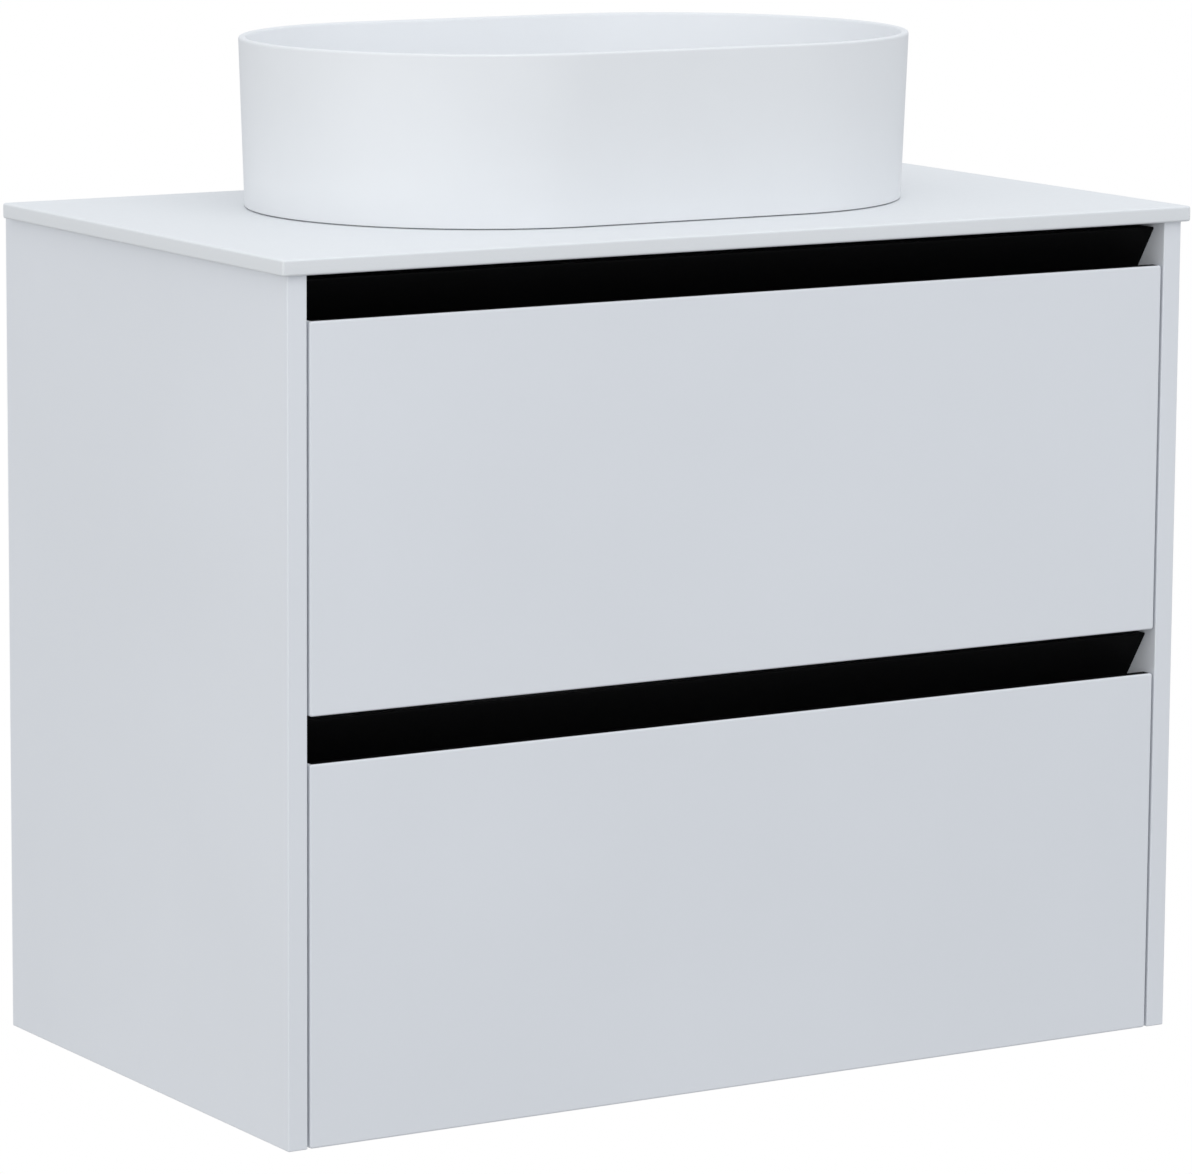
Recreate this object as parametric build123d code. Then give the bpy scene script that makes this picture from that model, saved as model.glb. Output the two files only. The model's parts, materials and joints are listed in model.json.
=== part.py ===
from build123d import *
from math import cos, radians, sin, tan
import os

# Wall-hung two-drawer vanity with a vessel basin.
#
# Millimetres, +Z up, front towards -Y. Heights are built from the underside of the cabinet (0) and
# moved on export, so that the origin lies on the wall plane at the centre of the four wall fixings.

# Countertop
TOP_WIDTH = 800.0
TOP_DEPTH = 448.0
TOP_THICKNESS = 12.0
TOP_EDGE_RADIUS = 1.2
TOP_CORNER_RADIUS = 2.0
TOP_OVERHANG_FRONT = 4.5
TOP_WASTE_HOLE_RADIUS = 25.0

# Cabinet
CASE_WIDTH = 788.0
CASE_DEPTH = 450.0
CASE_HEIGHT = 638.0
BOARD = 16.0
EDGE_RADIUS = 1.0
BACK_RAIL_TOP_HEIGHT = 100.0
BACK_RAIL_LOW_HEIGHT = 80.0
FRONT_RAIL_SETBACK = 60.0
FRONT_RAIL_DEPTH = 80.0
BOTTOM_SETBACK = 18.0

# Wall fixings, four holes through the two back rails
WALL_HOLE_RADIUS = 4.5
WALL_HOLE_SPACING_X = 600.0

# Drawer fronts and finger gaps
LOWER_FRONT_HEIGHT = 284.0
LOWER_GAP = 35.0
UPPER_GAP = 33.5
FRONT_SIDE_GAP = 2.0
GRIP_FLAT = 9.0

# Finger channel, a bent black profile
CHANNEL_SETBACK = 14.0
CHANNEL_DROP = 5.0
CHANNEL_WALL = 2.0
CHANNEL_NOSE = 1.5
CHANNEL_FLANGE = 20.0
CHANNEL_REACH = 26.0
CHANNEL_HEIGHT = 55.0
CHANNEL_SLOPE = 32.5
BRACKET_WALL = 2.0
BRACKET_DEPTH = 30.0
BRACKET_TAB = 22.0
BRACKET_HEIGHT = 22.0
BRACKET_TAB_HEIGHT = 12.0

# Drawer boxes
BOX_BOARD = 12.0
BOX_LENGTH = 400.0
BOX_HEIGHT = 180.0
BOX_FLOOR = 8.0
BOX_FLOOR_LIFT = 10.0
GROOVE = 6.0
LOWER_BOX_Z = 26.0
UPPER_BOX_Z = 330.0
CUTOUT_WIDTH = 200.0
CUTOUT_DEPTH = 237.0

# Ball-bearing drawer runners, measured inwards from the side panel's inner face
RUNNER_LENGTH = 400.0
RUNNER_SPACE = 13.0
RUNNER_WALL = 1.2
RUNNER_LIFT = 45.0
CABINET_MEMBER_HALF = 22.5
CABINET_MEMBER_DEPTH = 10.0
MIDDLE_MEMBER_HALF = 17.3
MIDDLE_MEMBER_START = 2.4
MIDDLE_MEMBER_END = 11.0
DRAWER_MEMBER_HALF = 12.6
DRAWER_MEMBER_START = 5.0
OUTER_BALL_RADIUS = 1.95
INNER_BALL_RADIUS = 1.70
OUTER_CAGE_START = 1.5
INNER_CAGE_START = 4.0
OUTER_CAGE_DEPTH = 8.5
INNER_CAGE_DEPTH = 6.8
OUTER_BALL_OFFSET = 5.0
INNER_BALL_OFFSET = 4.0
CAGE_WALL = 0.6
CAGE_FLANGE = 0.8
CAGE_LENGTH = 196.0
BALLS_PER_ROW = 6
BALL_CLEARANCE = 0.06

# Basin
BASIN_LENGTH = 545.0
BASIN_WIDTH = 355.0
BASIN_HEIGHT = 129.0
BASIN_BASE_INSET = 4.5
BASIN_WALL = 6.0
BASIN_INNER_DRAFT = 8.0
BASIN_FLOOR = 16.0
BASIN_FLOOR_FALL = 4.0
BASIN_INNER_RADIUS = 30.0
BASIN_SETBACK = 254.0
BASIN_WASTE_HOLE_RADIUS = 23.0
BASIN_RECESS_RADIUS = 33.0
BASIN_RECESS_DEPTH = 4.0
BASIN_RIM_RADIUS = 1.8
BASIN_FOOT_RADIUS = 1.5
SEALANT = 1.0
SEALANT_INSET = 4.0
SEALANT_WIDTH = 8.0

# Push-button waste
TAIL_RADIUS = 20.95
TAIL_BORE_RADIUS = 17.5
TAIL_BOTTOM_Z = 570.0
TRAP_THREAD = 52.0
RELIEF_WIDTH = 2.0
RELIEF_DEPTH = 0.8
FLANGE_RADIUS = 32.0
FLANGE_THICKNESS = 3.0
GASKET = 1.5
PLUG_RADIUS = 31.0
PLUG_HEIGHT = 6.2
PLUG_DOME = 3.6
PLUG_TRAVEL = 8.0
PLUG_STEM_RADIUS = 3.0
PLUG_SEAL_INNER = 20.0
PLUG_SEAL_OUTER = 25.0
PLUG_SEAL = 1.8
PLUG_REST_GAP = 0.2
WASHER = 3.0
WASHER_EASE = 0.25
BACK_NUT_RADIUS = 30.0
BACK_NUT_HEIGHT = 10.0
CARTRIDGE_RADIUS = 9.0
CARTRIDGE_BORE = 6.0
CARTRIDGE_HEIGHT = 30.0
CARTRIDGE_DROP = 21.5
CARTRIDGE_FLOOR = 3.0
CARTRIDGE_LID = 2.0
STEM_COLLAR_RADIUS = 5.7
STEM_COLLAR = 3.0
STEM_IN_PLUG = 3.0
SLIDING_EASE = 0.06
SPRING_RADIUS = 4.6
SPRING_WIRE = 0.45
SPRING_TURNS = 6

# Fasteners
HOLE_EASE = 0.05
CAM_BACKSET = 34.0
CAM_RADIUS = 7.5
CAM_DEPTH = 12.5
CAM_BOLT_RADIUS = 2.5
CAM_PIN_RADIUS = 2.2
CAM_PIN_HOLE = 4.0
CAM_HEAD_RADIUS = 3.4
BOLT_IN_PANEL = 11.0
SCREW_HEAD = 3.5
SCREW_HEAD_HEIGHT = 2.2
FLAT_HEAD_DEPTH = 2.4
THIN_SCREW = 1.9
BOARD_SCREW = 2.0
PANEL_SCREW_LENGTH = 14.0
RUNNER_SCREW_LENGTH = 10.0
BOX_SCREW_LENGTH = 40.0
FRONT_SCREW_LENGTH = 24.0
DOWEL_RADIUS = 4.0
DOWEL_CHAMFER = 0.8
DOWEL_IN_PANEL = 12.0
DOWEL_IN_RAIL = 18.0

# Derived levels and planes
CASE_INNER = CASE_WIDTH / 2 - BOARD
FRONT_Y = -CASE_DEPTH
FRONT_BACK_Y = FRONT_Y + BOARD
UPPER_FRONT_Z = LOWER_FRONT_HEIGHT + LOWER_GAP
UPPER_FRONT_TOP = CASE_HEIGHT - UPPER_GAP
BOX_HALF = CASE_INNER - RUNNER_SPACE
BOX_INNER = BOX_HALF - BOX_BOARD
BOX_BACK_Y = FRONT_BACK_Y + BOX_LENGTH
TOP_RAIL_Z = CASE_HEIGHT - BACK_RAIL_TOP_HEIGHT
WALL_HOLE_TOP_Z = TOP_RAIL_Z + BACK_RAIL_TOP_HEIGHT / 2
WALL_HOLE_LOW_Z = BOARD + BACK_RAIL_LOW_HEIGHT / 2
ORIGIN_Z = (WALL_HOLE_TOP_Z + WALL_HOLE_LOW_Z) / 2
TOP_Z = CASE_HEIGHT + TOP_THICKNESS
BASIN_Y = FRONT_Y + BASIN_SETBACK
BASIN_Z = TOP_Z + SEALANT
BASIN_FLOOR_Z = BASIN_Z + BASIN_FLOOR
WASTE_SEAT_Z = BASIN_FLOOR_Z - BASIN_FLOOR_FALL - BASIN_RECESS_DEPTH
FLANGE_TOP_Z = WASTE_SEAT_Z + GASKET + FLANGE_THICKNESS
CHANNEL_TOPS = {"upper": CASE_HEIGHT - CHANNEL_DROP, "lower": UPPER_FRONT_Z - CHANNEL_DROP}
CHANNEL_BACK_Y = FRONT_Y + CHANNEL_SETBACK + CHANNEL_REACH + CHANNEL_WALL
RUNNER_LEVELS = {"upper": UPPER_BOX_Z + RUNNER_LIFT, "lower": LOWER_BOX_Z + RUNNER_LIFT}
RUNNER_FRONT_Y = FRONT_BACK_Y + 2.0
UPWARDS = (Align.CENTER, Align.CENTER, Align.MIN)
DOWNWARDS = (Align.CENTER, Align.CENTER, Align.MAX)

nodes = {}


def block(x0, x1, y0, y1, z0, z1):
    """A box between two corners."""
    centre = ((x0 + x1) / 2, (y0 + y1) / 2, (z0 + z1) / 2)
    return Pos(*centre) * Box(abs(x1 - x0), abs(y1 - y0), abs(z1 - z0))


def rod(start, direction, radius, length):
    """A cylinder from a start point along a direction."""
    plane = Plane(origin=start, z_dir=direction)
    return plane.location * Cylinder(radius, length, align=UPWARDS)


def place(piece, point, facing):
    """Turn a piece built along +Z so that it faces a direction, and move it to a point."""
    return Plane(origin=point, z_dir=facing).location * piece


def tube(inner, outer, z0, z1, centre=(0.0, 0.0)):
    """An upright ring."""
    ring = Cylinder(outer, z1 - z0) - Cylinder(inner, z1 - z0)
    return Pos(centre[0], centre[1], (z0 + z1) / 2) * ring


def both_sides(piece):
    """A piece and its mirror image across the cabinet's middle plane."""
    return [piece, piece.mirror(Plane.YZ)]


def group(pieces):
    """Separate solids kept as one node."""
    solids = []
    for piece in pieces:
        solids.extend(piece.solids())
    return Compound(solids)


def cross_recess(width, depth):
    """The cutter for a cross drive in a screw head whose top lies at z = 0."""
    arm = Box(width, width / 4, 2 * depth)
    return arm + Rot(0, 0, 90) * arm


def pan_screw(head_radius, head_height, shank_radius, length):
    """A pan-head screw along -Z whose head sits on z = 0."""
    head = Cylinder(head_radius, head_height, align=UPWARDS)
    head = fillet(head.edges().group_by(Axis.Z)[-1], head_height * 0.45)
    head -= Pos(0, 0, head_height) * cross_recess(head_radius * 1.1, head_height * 0.5)
    return head + Cylinder(shank_radius, length, align=DOWNWARDS)


def flat_screw(head_radius, head_depth, shank_radius, length, ease=0.0):
    """A countersunk screw along -Z whose flat head lies at z = 0; ease widens it into a hole cutter."""
    profile = Polyline(
        (0, 0),
        (head_radius + ease, 0),
        (shank_radius + ease, -head_depth),
        (shank_radius + ease, -length - ease),
        (0, -length - ease),
        close=True,
    )
    body = revolve(Plane.XZ * make_face(profile), Axis.Z)
    if ease:
        return body
    return body - cross_recess(head_radius * 0.9, head_depth * 0.4)


def stadium(length, width, z):
    """A flat stadium outline centred on the basin's axis."""
    return Pos(0, BASIN_Y, z) * SlotOverall(length, width)


# Cabinet boards

def cam_bolt():
    """A cam bolt along +Z: thread in the panel below z = 0, pin and head in the rail above."""
    thread = Cylinder(CAM_BOLT_RADIUS, BOLT_IN_PANEL, align=DOWNWARDS)
    pin = Cylinder(CAM_PIN_RADIUS, CAM_BACKSET - 2, align=UPWARDS)
    head = Pos(0, 0, CAM_BACKSET - 2) * Cylinder(CAM_HEAD_RADIUS, 3, align=UPWARDS)
    return thread + pin + head


def cam_lock():
    """A cam disc below z = 0 with a cross drive and a side mouth towards +X for the bolt."""
    disc = Cylinder(CAM_RADIUS - HOLE_EASE, CAM_DEPTH - 0.5, align=DOWNWARDS)
    mouth = Pos(CAM_RADIUS / 2, 0, -BOARD / 2) * Box(CAM_RADIUS + 8, 7.4, 7.4)
    return disc - mouth - cross_recess(6, 2)


def cabinet_joints():
    """Each board end's joints: board name, kind, y, z, and the face that the cam is set into."""
    mid = BOARD / 2
    rail_y = FRONT_Y + FRONT_RAIL_SETBACK + FRONT_RAIL_DEPTH / 2
    return [
        ("bottom_panel", "cam", -380, mid, (0, 0, 1)),
        ("bottom_panel", "cam", -60, mid, (0, 0, 1)),
        ("bottom_panel", "dowel", -340, mid, None),
        ("bottom_panel", "dowel", -100, mid, None),
        ("hanging_rail", "cam", -mid, WALL_HOLE_TOP_Z - 26, (0, -1, 0)),
        ("hanging_rail", "cam", -mid, WALL_HOLE_TOP_Z + 26, (0, -1, 0)),
        ("hanging_rail", "dowel", -mid, WALL_HOLE_TOP_Z, None),
        ("lower_back_rail", "cam", -mid, WALL_HOLE_LOW_Z, (0, -1, 0)),
        ("lower_back_rail", "dowel", -mid, WALL_HOLE_LOW_Z - 24, None),
        ("lower_back_rail", "dowel", -mid, WALL_HOLE_LOW_Z + 24, None),
        ("top_front_rail", "cam", rail_y, CASE_HEIGHT - mid, (0, 0, -1)),
        ("top_front_rail", "dowel", rail_y - 26, CASE_HEIGHT - mid, None),
        ("top_front_rail", "dowel", rail_y + 26, CASE_HEIGHT - mid, None),
    ]


def build_cabinet():
    """Side panels, bottom, rails and the fittings that join them."""
    inner = CASE_INNER
    panel = block(inner, CASE_WIDTH / 2, FRONT_Y, 0, 0, CASE_HEIGHT)
    front_edges = panel.edges().filter_by(Axis.Z).group_by(Axis.Y)[0]
    bottom_edges = panel.edges().filter_by(Axis.Y).group_by(Axis.Z)[0]
    panel = fillet(front_edges + bottom_edges, EDGE_RADIUS)
    rail_front = FRONT_Y + FRONT_RAIL_SETBACK
    boards = {
        "bottom_panel": block(-inner, inner, FRONT_Y + BOTTOM_SETBACK, 0, 0, BOARD),
        "hanging_rail": block(-inner, inner, -BOARD, 0, TOP_RAIL_Z, CASE_HEIGHT),
        "lower_back_rail": block(-inner, inner, -BOARD, 0, BOARD, BOARD + BACK_RAIL_LOW_HEIGHT),
        "top_front_rail": block(
            -inner, inner, rail_front, rail_front + FRONT_RAIL_DEPTH, CASE_HEIGHT - BOARD, CASE_HEIGHT
        ),
    }
    for x in (-WALL_HOLE_SPACING_X / 2, WALL_HOLE_SPACING_X / 2):
        boards["hanging_rail"] -= rod((x, 5, WALL_HOLE_TOP_Z), (0, -1, 0), WALL_HOLE_RADIUS, BOARD + 10)
        boards["lower_back_rail"] -= rod((x, 5, WALL_HOLE_LOW_Z), (0, -1, 0), WALL_HOLE_RADIUS, BOARD + 10)

    cams, bolts, dowels = [], [], []
    for name, kind, y, z, face in cabinet_joints():
        end = (inner, y, z)
        if kind == "dowel":
            start = (inner + DOWEL_IN_PANEL, y, z)
            length = DOWEL_IN_PANEL + DOWEL_IN_RAIL
            dowel = rod(start, (-1, 0, 0), DOWEL_RADIUS, length)
            dowel = chamfer(dowel.edges().filter_by(GeomType.CIRCLE), DOWEL_CHAMFER)
            dowels += both_sides(dowel)
            hole = rod((start[0] + 0.5, y, z), (-1, 0, 0), DOWEL_RADIUS + HOLE_EASE, length + 1)
            panel -= hole
            boards[name] -= both_sides(hole)
            continue
        bolts += both_sides(place(cam_bolt(), end, (-1, 0, 0)))
        panel -= rod(end, (1, 0, 0), CAM_BOLT_RADIUS + HOLE_EASE, BOLT_IN_PANEL + 0.5)
        out = Vector(face) * (BOARD / 2)
        seat = Plane(origin=Vector(inner - CAM_BACKSET, y, z) + out, x_dir=(1, 0, 0), z_dir=face)
        cams += both_sides(seat.location * cam_lock())
        bore = rod(seat.origin, Vector(face) * -1, CAM_RADIUS, CAM_DEPTH)
        boards[name] -= both_sides(bore)
        boards[name] -= both_sides(rod(end, (-1, 0, 0), CAM_PIN_HOLE, CAM_BACKSET))

    panel -= runner_panel_screws(HOLE_EASE) + bracket_panel_screws(HOLE_EASE)
    nodes["side_panel_right"] = panel
    nodes["side_panel_left"] = panel.mirror(Plane.YZ)
    nodes.update(boards)
    nodes["cam_locks"] = group(cams)
    nodes["cam_bolts"] = group(bolts)
    nodes["board_dowels"] = group(dowels)


def build_countertop():
    """The slab with its eased edges and the hole for the waste."""
    front = FRONT_Y - TOP_OVERHANG_FRONT
    slab = block(-TOP_WIDTH / 2, TOP_WIDTH / 2, front, front + TOP_DEPTH, CASE_HEIGHT, TOP_Z)
    slab = fillet(slab.edges().filter_by(Axis.Z), TOP_CORNER_RADIUS)
    rims = slab.edges().group_by(Axis.Z)
    slab = fillet(rims[0] + rims[-1], TOP_EDGE_RADIUS)
    nodes["countertop"] = slab - rod((0, BASIN_Y, TOP_Z + 5), (0, 0, -1), TOP_WASTE_HOLE_RADIUS, 30)


# Finger channels

def channel_profile(top_z):
    """The bent section: short top flange, sloping web and a short upright leg."""
    lean = radians(CHANNEL_SLOPE)
    wall = CHANNEL_WALL
    front = FRONT_Y + CHANNEL_SETBACK
    leg_front = front + CHANNEL_REACH
    web_back_y = front + wall * cos(lean)
    web_back_z = top_z - CHANNEL_NOSE + wall * sin(lean)
    inside_y = web_back_y + (web_back_z - top_z + wall) * tan(lean)
    leg_back_top = web_back_z - (leg_front + wall - web_back_y) / tan(lean)
    leg_front_top = top_z - CHANNEL_NOSE - CHANNEL_REACH / tan(lean)
    outline = Polyline(
        (front, top_z),
        (front + CHANNEL_FLANGE, top_z),
        (front + CHANNEL_FLANGE, top_z - wall),
        (inside_y, top_z - wall),
        (leg_front + wall, leg_back_top),
        (leg_front + wall, top_z - CHANNEL_HEIGHT),
        (leg_front, top_z - CHANNEL_HEIGHT),
        (leg_front, leg_front_top),
        (front, top_z - CHANNEL_NOSE),
        close=True,
    )
    return Plane.YZ * make_face(outline)


def bracket_panel_screws(ease=0.0):
    """The right-hand screws that hold the channel brackets to the side panel, or their holes."""
    screws = []
    for top in CHANNEL_TOPS.values():
        for back in (10, 22):
            point = (CASE_INNER - BRACKET_WALL, CHANNEL_BACK_Y + back, top - CHANNEL_HEIGHT + 11)
            if ease:
                screws.append(rod(point, (1, 0, 0), THIN_SCREW + ease, PANEL_SCREW_LENGTH + 0.2))
            else:
                screw = pan_screw(SCREW_HEAD, SCREW_HEAD_HEIGHT, THIN_SCREW, PANEL_SCREW_LENGTH)
                screws.append(place(screw, point, (-1, 0, 0)))
    return screws


def build_channels():
    """Two finger channels, each held to the side panels by an angle bracket at both ends."""
    brackets, screws = [], bracket_panel_screws()
    x1, y0 = CASE_INNER, CHANNEL_BACK_Y
    grip = BRACKET_WALL + CHANNEL_WALL
    for name, top in CHANNEL_TOPS.items():
        foot = top - CHANNEL_HEIGHT
        channel = extrude(channel_profile(top), CASE_INNER, both=True)
        bracket = block(x1 - BRACKET_WALL, x1, y0, y0 + BRACKET_DEPTH, foot, foot + BRACKET_HEIGHT)
        bracket += block(x1 - BRACKET_TAB, x1, y0, y0 + BRACKET_WALL, foot, foot + BRACKET_TAB_HEIGHT)
        bracket -= bracket_panel_screws(HOLE_EASE)
        point = (x1 - BRACKET_WALL - BRACKET_TAB / 2, y0 + BRACKET_WALL, foot + BRACKET_TAB_HEIGHT / 2)
        hole = rod(point, (0, -1, 0), THIN_SCREW + HOLE_EASE, grip)
        channel -= both_sides(hole)
        brackets.append(bracket - hole)
        screw = pan_screw(SCREW_HEAD, SCREW_HEAD_HEIGHT, THIN_SCREW, grip)
        screws.append(place(screw, point, (0, 1, 0)))
        nodes["finger_channel_" + name] = channel
    nodes["channel_brackets"] = group([p for b in brackets for p in both_sides(b)])
    nodes["channel_screws"] = group([p for s in screws for p in both_sides(s)])


# Drawer runners

def member(start, end, half, web_at_start, z):
    """A right-hand C section between two distances from the side panel, its web's corners rounded."""
    wall = RUNNER_WALL
    x0, x1 = CASE_INNER - start, CASE_INNER - end
    y0, y1 = RUNNER_FRONT_Y, RUNNER_FRONT_Y + RUNNER_LENGTH
    outer = block(x1, x0, y0, y1, z - half, z + half)
    long_edges = outer.edges().filter_by(Axis.Y).group_by(Axis.X)
    outer = fillet(long_edges[-1 if web_at_start else 0], wall * 0.8)
    hollow_x0, hollow_x1 = (x1 - 1, x0 - wall) if web_at_start else (x1 + wall, x0 + 1)
    return outer - block(hollow_x0, hollow_x1, y0 - 1, y1 + 1, z - half + wall, z + half - wall)


def ball_cage(start, depth, track, ball_radius, ball_offset, z):
    """A right-hand cage strip with its balls: a C section whose flanges lie in the ball tracks."""
    x0, x1 = CASE_INNER - start, CASE_INNER - start - depth
    y0 = RUNNER_FRONT_Y + (RUNNER_LENGTH - CAGE_LENGTH) / 2
    y1 = y0 + CAGE_LENGTH
    half = track + CAGE_FLANGE / 2
    room = half - CAGE_FLANGE
    cage = block(x1, x0, y0, y1, z - half, z + half)
    cage -= block(x1 - 1, x0 - CAGE_WALL, y0 - 1, y1 + 1, z - room, z + room)
    balls = []
    pitch = CAGE_LENGTH / BALLS_PER_ROW
    for row in (-1, 1):
        for k in range(BALLS_PER_ROW):
            centre = (x0 - ball_offset, y0 + pitch * (k + 0.5), z + row * track)
            cage -= Pos(*centre) * Cylinder(ball_radius + BALL_CLEARANCE, 3)
            balls.append(Pos(*centre) * Sphere(ball_radius))
    return [cage] + balls


def runner_screw_points(z):
    """Where a runner member is screwed on, as (y, z)."""
    return [(RUNNER_FRONT_Y + share * RUNNER_LENGTH, z) for share in (0.08, 0.5, 0.92)]


def runner_panel_screws(ease=0.0):
    """The right-hand screws that hold the cabinet members, flush with the members' webs, or holes."""
    screws = []
    for level in RUNNER_LEVELS.values():
        for y, z in runner_screw_points(level):
            point = (CASE_INNER - RUNNER_WALL, y, z)
            screw = flat_screw(SCREW_HEAD, FLAT_HEAD_DEPTH, BOARD_SCREW, PANEL_SCREW_LENGTH, ease)
            screws.append(place(screw, point, (-1, 0, 0)))
    return screws


def build_runners(name):
    """One drawer's pair of three-part runners with two ball cages each."""
    z = RUNNER_LEVELS[name]
    cabinet_member = member(0, CABINET_MEMBER_DEPTH, CABINET_MEMBER_HALF, True, z)
    cabinet_member -= runner_panel_screws(HOLE_EASE)
    middle = member(MIDDLE_MEMBER_START, MIDDLE_MEMBER_END, MIDDLE_MEMBER_HALF, True, z)
    drawer_member = member(DRAWER_MEMBER_START, RUNNER_SPACE, DRAWER_MEMBER_HALF, False, z)
    screws = []
    for y, height in runner_screw_points(z):
        point = (BOX_HALF + RUNNER_WALL, y, height)
        drawer_member -= rod(point, (-1, 0, 0), THIN_SCREW + HOLE_EASE, RUNNER_WALL)
        screw = pan_screw(SCREW_HEAD, 1.8, THIN_SCREW, RUNNER_SCREW_LENGTH)
        screws += both_sides(place(screw, point, (1, 0, 0)))
    outer_track = (CABINET_MEMBER_HALF - RUNNER_WALL + MIDDLE_MEMBER_HALF) / 2
    inner_track = (MIDDLE_MEMBER_HALF - RUNNER_WALL + DRAWER_MEMBER_HALF) / 2
    outer = ball_cage(
        OUTER_CAGE_START, OUTER_CAGE_DEPTH, outer_track, OUTER_BALL_RADIUS, OUTER_BALL_OFFSET, z
    )
    inner = ball_cage(
        INNER_CAGE_START, INNER_CAGE_DEPTH, inner_track, INNER_BALL_RADIUS, INNER_BALL_OFFSET, z
    )
    for part, piece in (("cabinet", cabinet_member), ("middle", middle), ("drawer", drawer_member)):
        right, left = both_sides(piece)
        nodes[f"{name}_runner_{part}_member_right"] = right
        nodes[f"{name}_runner_{part}_member_left"] = left
    nodes[f"{name}_runner_drawer_screws"] = group(screws)
    nodes[f"{name}_outer_ball_cages"] = group([q for p in outer for q in both_sides(p)])
    nodes[f"{name}_inner_ball_cages"] = group([q for p in inner for q in both_sides(p)])


# Drawers

def drawer_front(z0, z1):
    """A drawer front with a rounded face and a back-bevelled top edge to grip."""
    half = CASE_INNER - FRONT_SIDE_GAP
    front = block(-half, half, FRONT_Y, FRONT_BACK_Y, z0, z1)
    back_top = front.edges().filter_by(Axis.X).group_by(Axis.Z)[-1].sort_by(Axis.Y)[-1]
    front = chamfer(back_top, BOARD - GRIP_FLAT)
    face_edges = front.faces().sort_by(Axis.Y)[0].edges()
    return fillet(face_edges, EDGE_RADIUS)


def build_drawer(name, front_z0, front_z1, box_z, plumbing=False):
    """A drawer: front, screwed box and, for plumbing, a lined U-shaped cut-out for the trap."""
    front = drawer_front(front_z0, front_z1)
    top = box_z + BOX_HEIGHT
    floor_z0 = box_z + BOX_FLOOR_LIFT
    floor_z1 = floor_z0 + BOX_FLOOR
    inner, half = BOX_INNER, BOX_HALF
    side = block(inner, half, FRONT_BACK_Y, BOX_BACK_Y, box_z, top)
    side -= block(inner, inner + GROOVE, FRONT_BACK_Y + BOX_BOARD - GROOVE, BOX_BACK_Y, floor_z0, floor_z1)
    box_front = block(-inner, inner, FRONT_BACK_Y, FRONT_BACK_Y + BOX_BOARD, box_z, top)
    groove_y = FRONT_BACK_Y + BOX_BOARD - GROOVE
    box_front -= block(-inner, inner, groove_y, FRONT_BACK_Y + BOX_BOARD, floor_z0, floor_z1)
    box_back = block(-inner, inner, BOX_BACK_Y - BOX_BOARD, BOX_BACK_Y, floor_z1, top)
    floor = block(-inner - GROOVE, inner + GROOVE, groove_y, BOX_BACK_Y, floor_z0, floor_z1)

    for y, z in runner_screw_points(RUNNER_LEVELS[name]):
        side -= rod((half, y, z), (-1, 0, 0), THIN_SCREW + HOLE_EASE, RUNNER_SCREW_LENGTH - 1)
    corner_screws = []
    for y in (FRONT_BACK_Y + BOX_BOARD / 2, BOX_BACK_Y - BOX_BOARD / 2):
        for lift in (80, 150):
            point = (half, y, box_z + lift)
            size = (SCREW_HEAD, FLAT_HEAD_DEPTH, BOARD_SCREW, BOX_SCREW_LENGTH)
            corner_screws += both_sides(place(flat_screw(*size), point, (1, 0, 0)))
            hole = place(flat_screw(*size, HOLE_EASE), point, (1, 0, 0))
            side -= hole
            box_front -= both_sides(hole)
            box_back -= both_sides(hole)
    front_screws = []
    for x in (-260, 260):
        for lift in (60, 140):
            point = (x, FRONT_BACK_Y + BOX_BOARD, box_z + lift)
            screw = pan_screw(SCREW_HEAD + 1, FLAT_HEAD_DEPTH, BOARD_SCREW, FRONT_SCREW_LENGTH)
            front_screws.append(place(screw, point, (0, 1, 0)))
            hole = rod(point, (0, -1, 0), BOARD_SCREW + HOLE_EASE, FRONT_SCREW_LENGTH + 0.2)
            front -= hole
            box_front -= hole

    if plumbing:
        gap = CUTOUT_WIDTH / 2
        cut_y = BOX_BACK_Y - CUTOUT_DEPTH
        void = block(-gap, gap, cut_y, BOX_BACK_Y + 1, box_z - 1, top + 1)
        floor -= void
        box_back -= void
        wall_y1 = BOX_BACK_Y - BOX_BOARD
        liner_side = block(gap, gap + BOX_BOARD, cut_y - BOX_BOARD, wall_y1, floor_z1, top)
        nodes[f"{name}_cutout_sides"] = group(both_sides(liner_side))
        nodes[f"{name}_cutout_front"] = block(-gap, gap, cut_y - BOX_BOARD, cut_y, floor_z1, top)

    nodes[f"{name}_drawer_front"] = front
    nodes[f"{name}_box_side_right"] = side
    nodes[f"{name}_box_side_left"] = side.mirror(Plane.YZ)
    nodes[f"{name}_box_front"] = box_front
    nodes[f"{name}_box_back"] = box_back
    nodes[f"{name}_box_floor"] = floor
    nodes[f"{name}_box_screws"] = group(corner_screws + front_screws)


# Basin and waste

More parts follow.
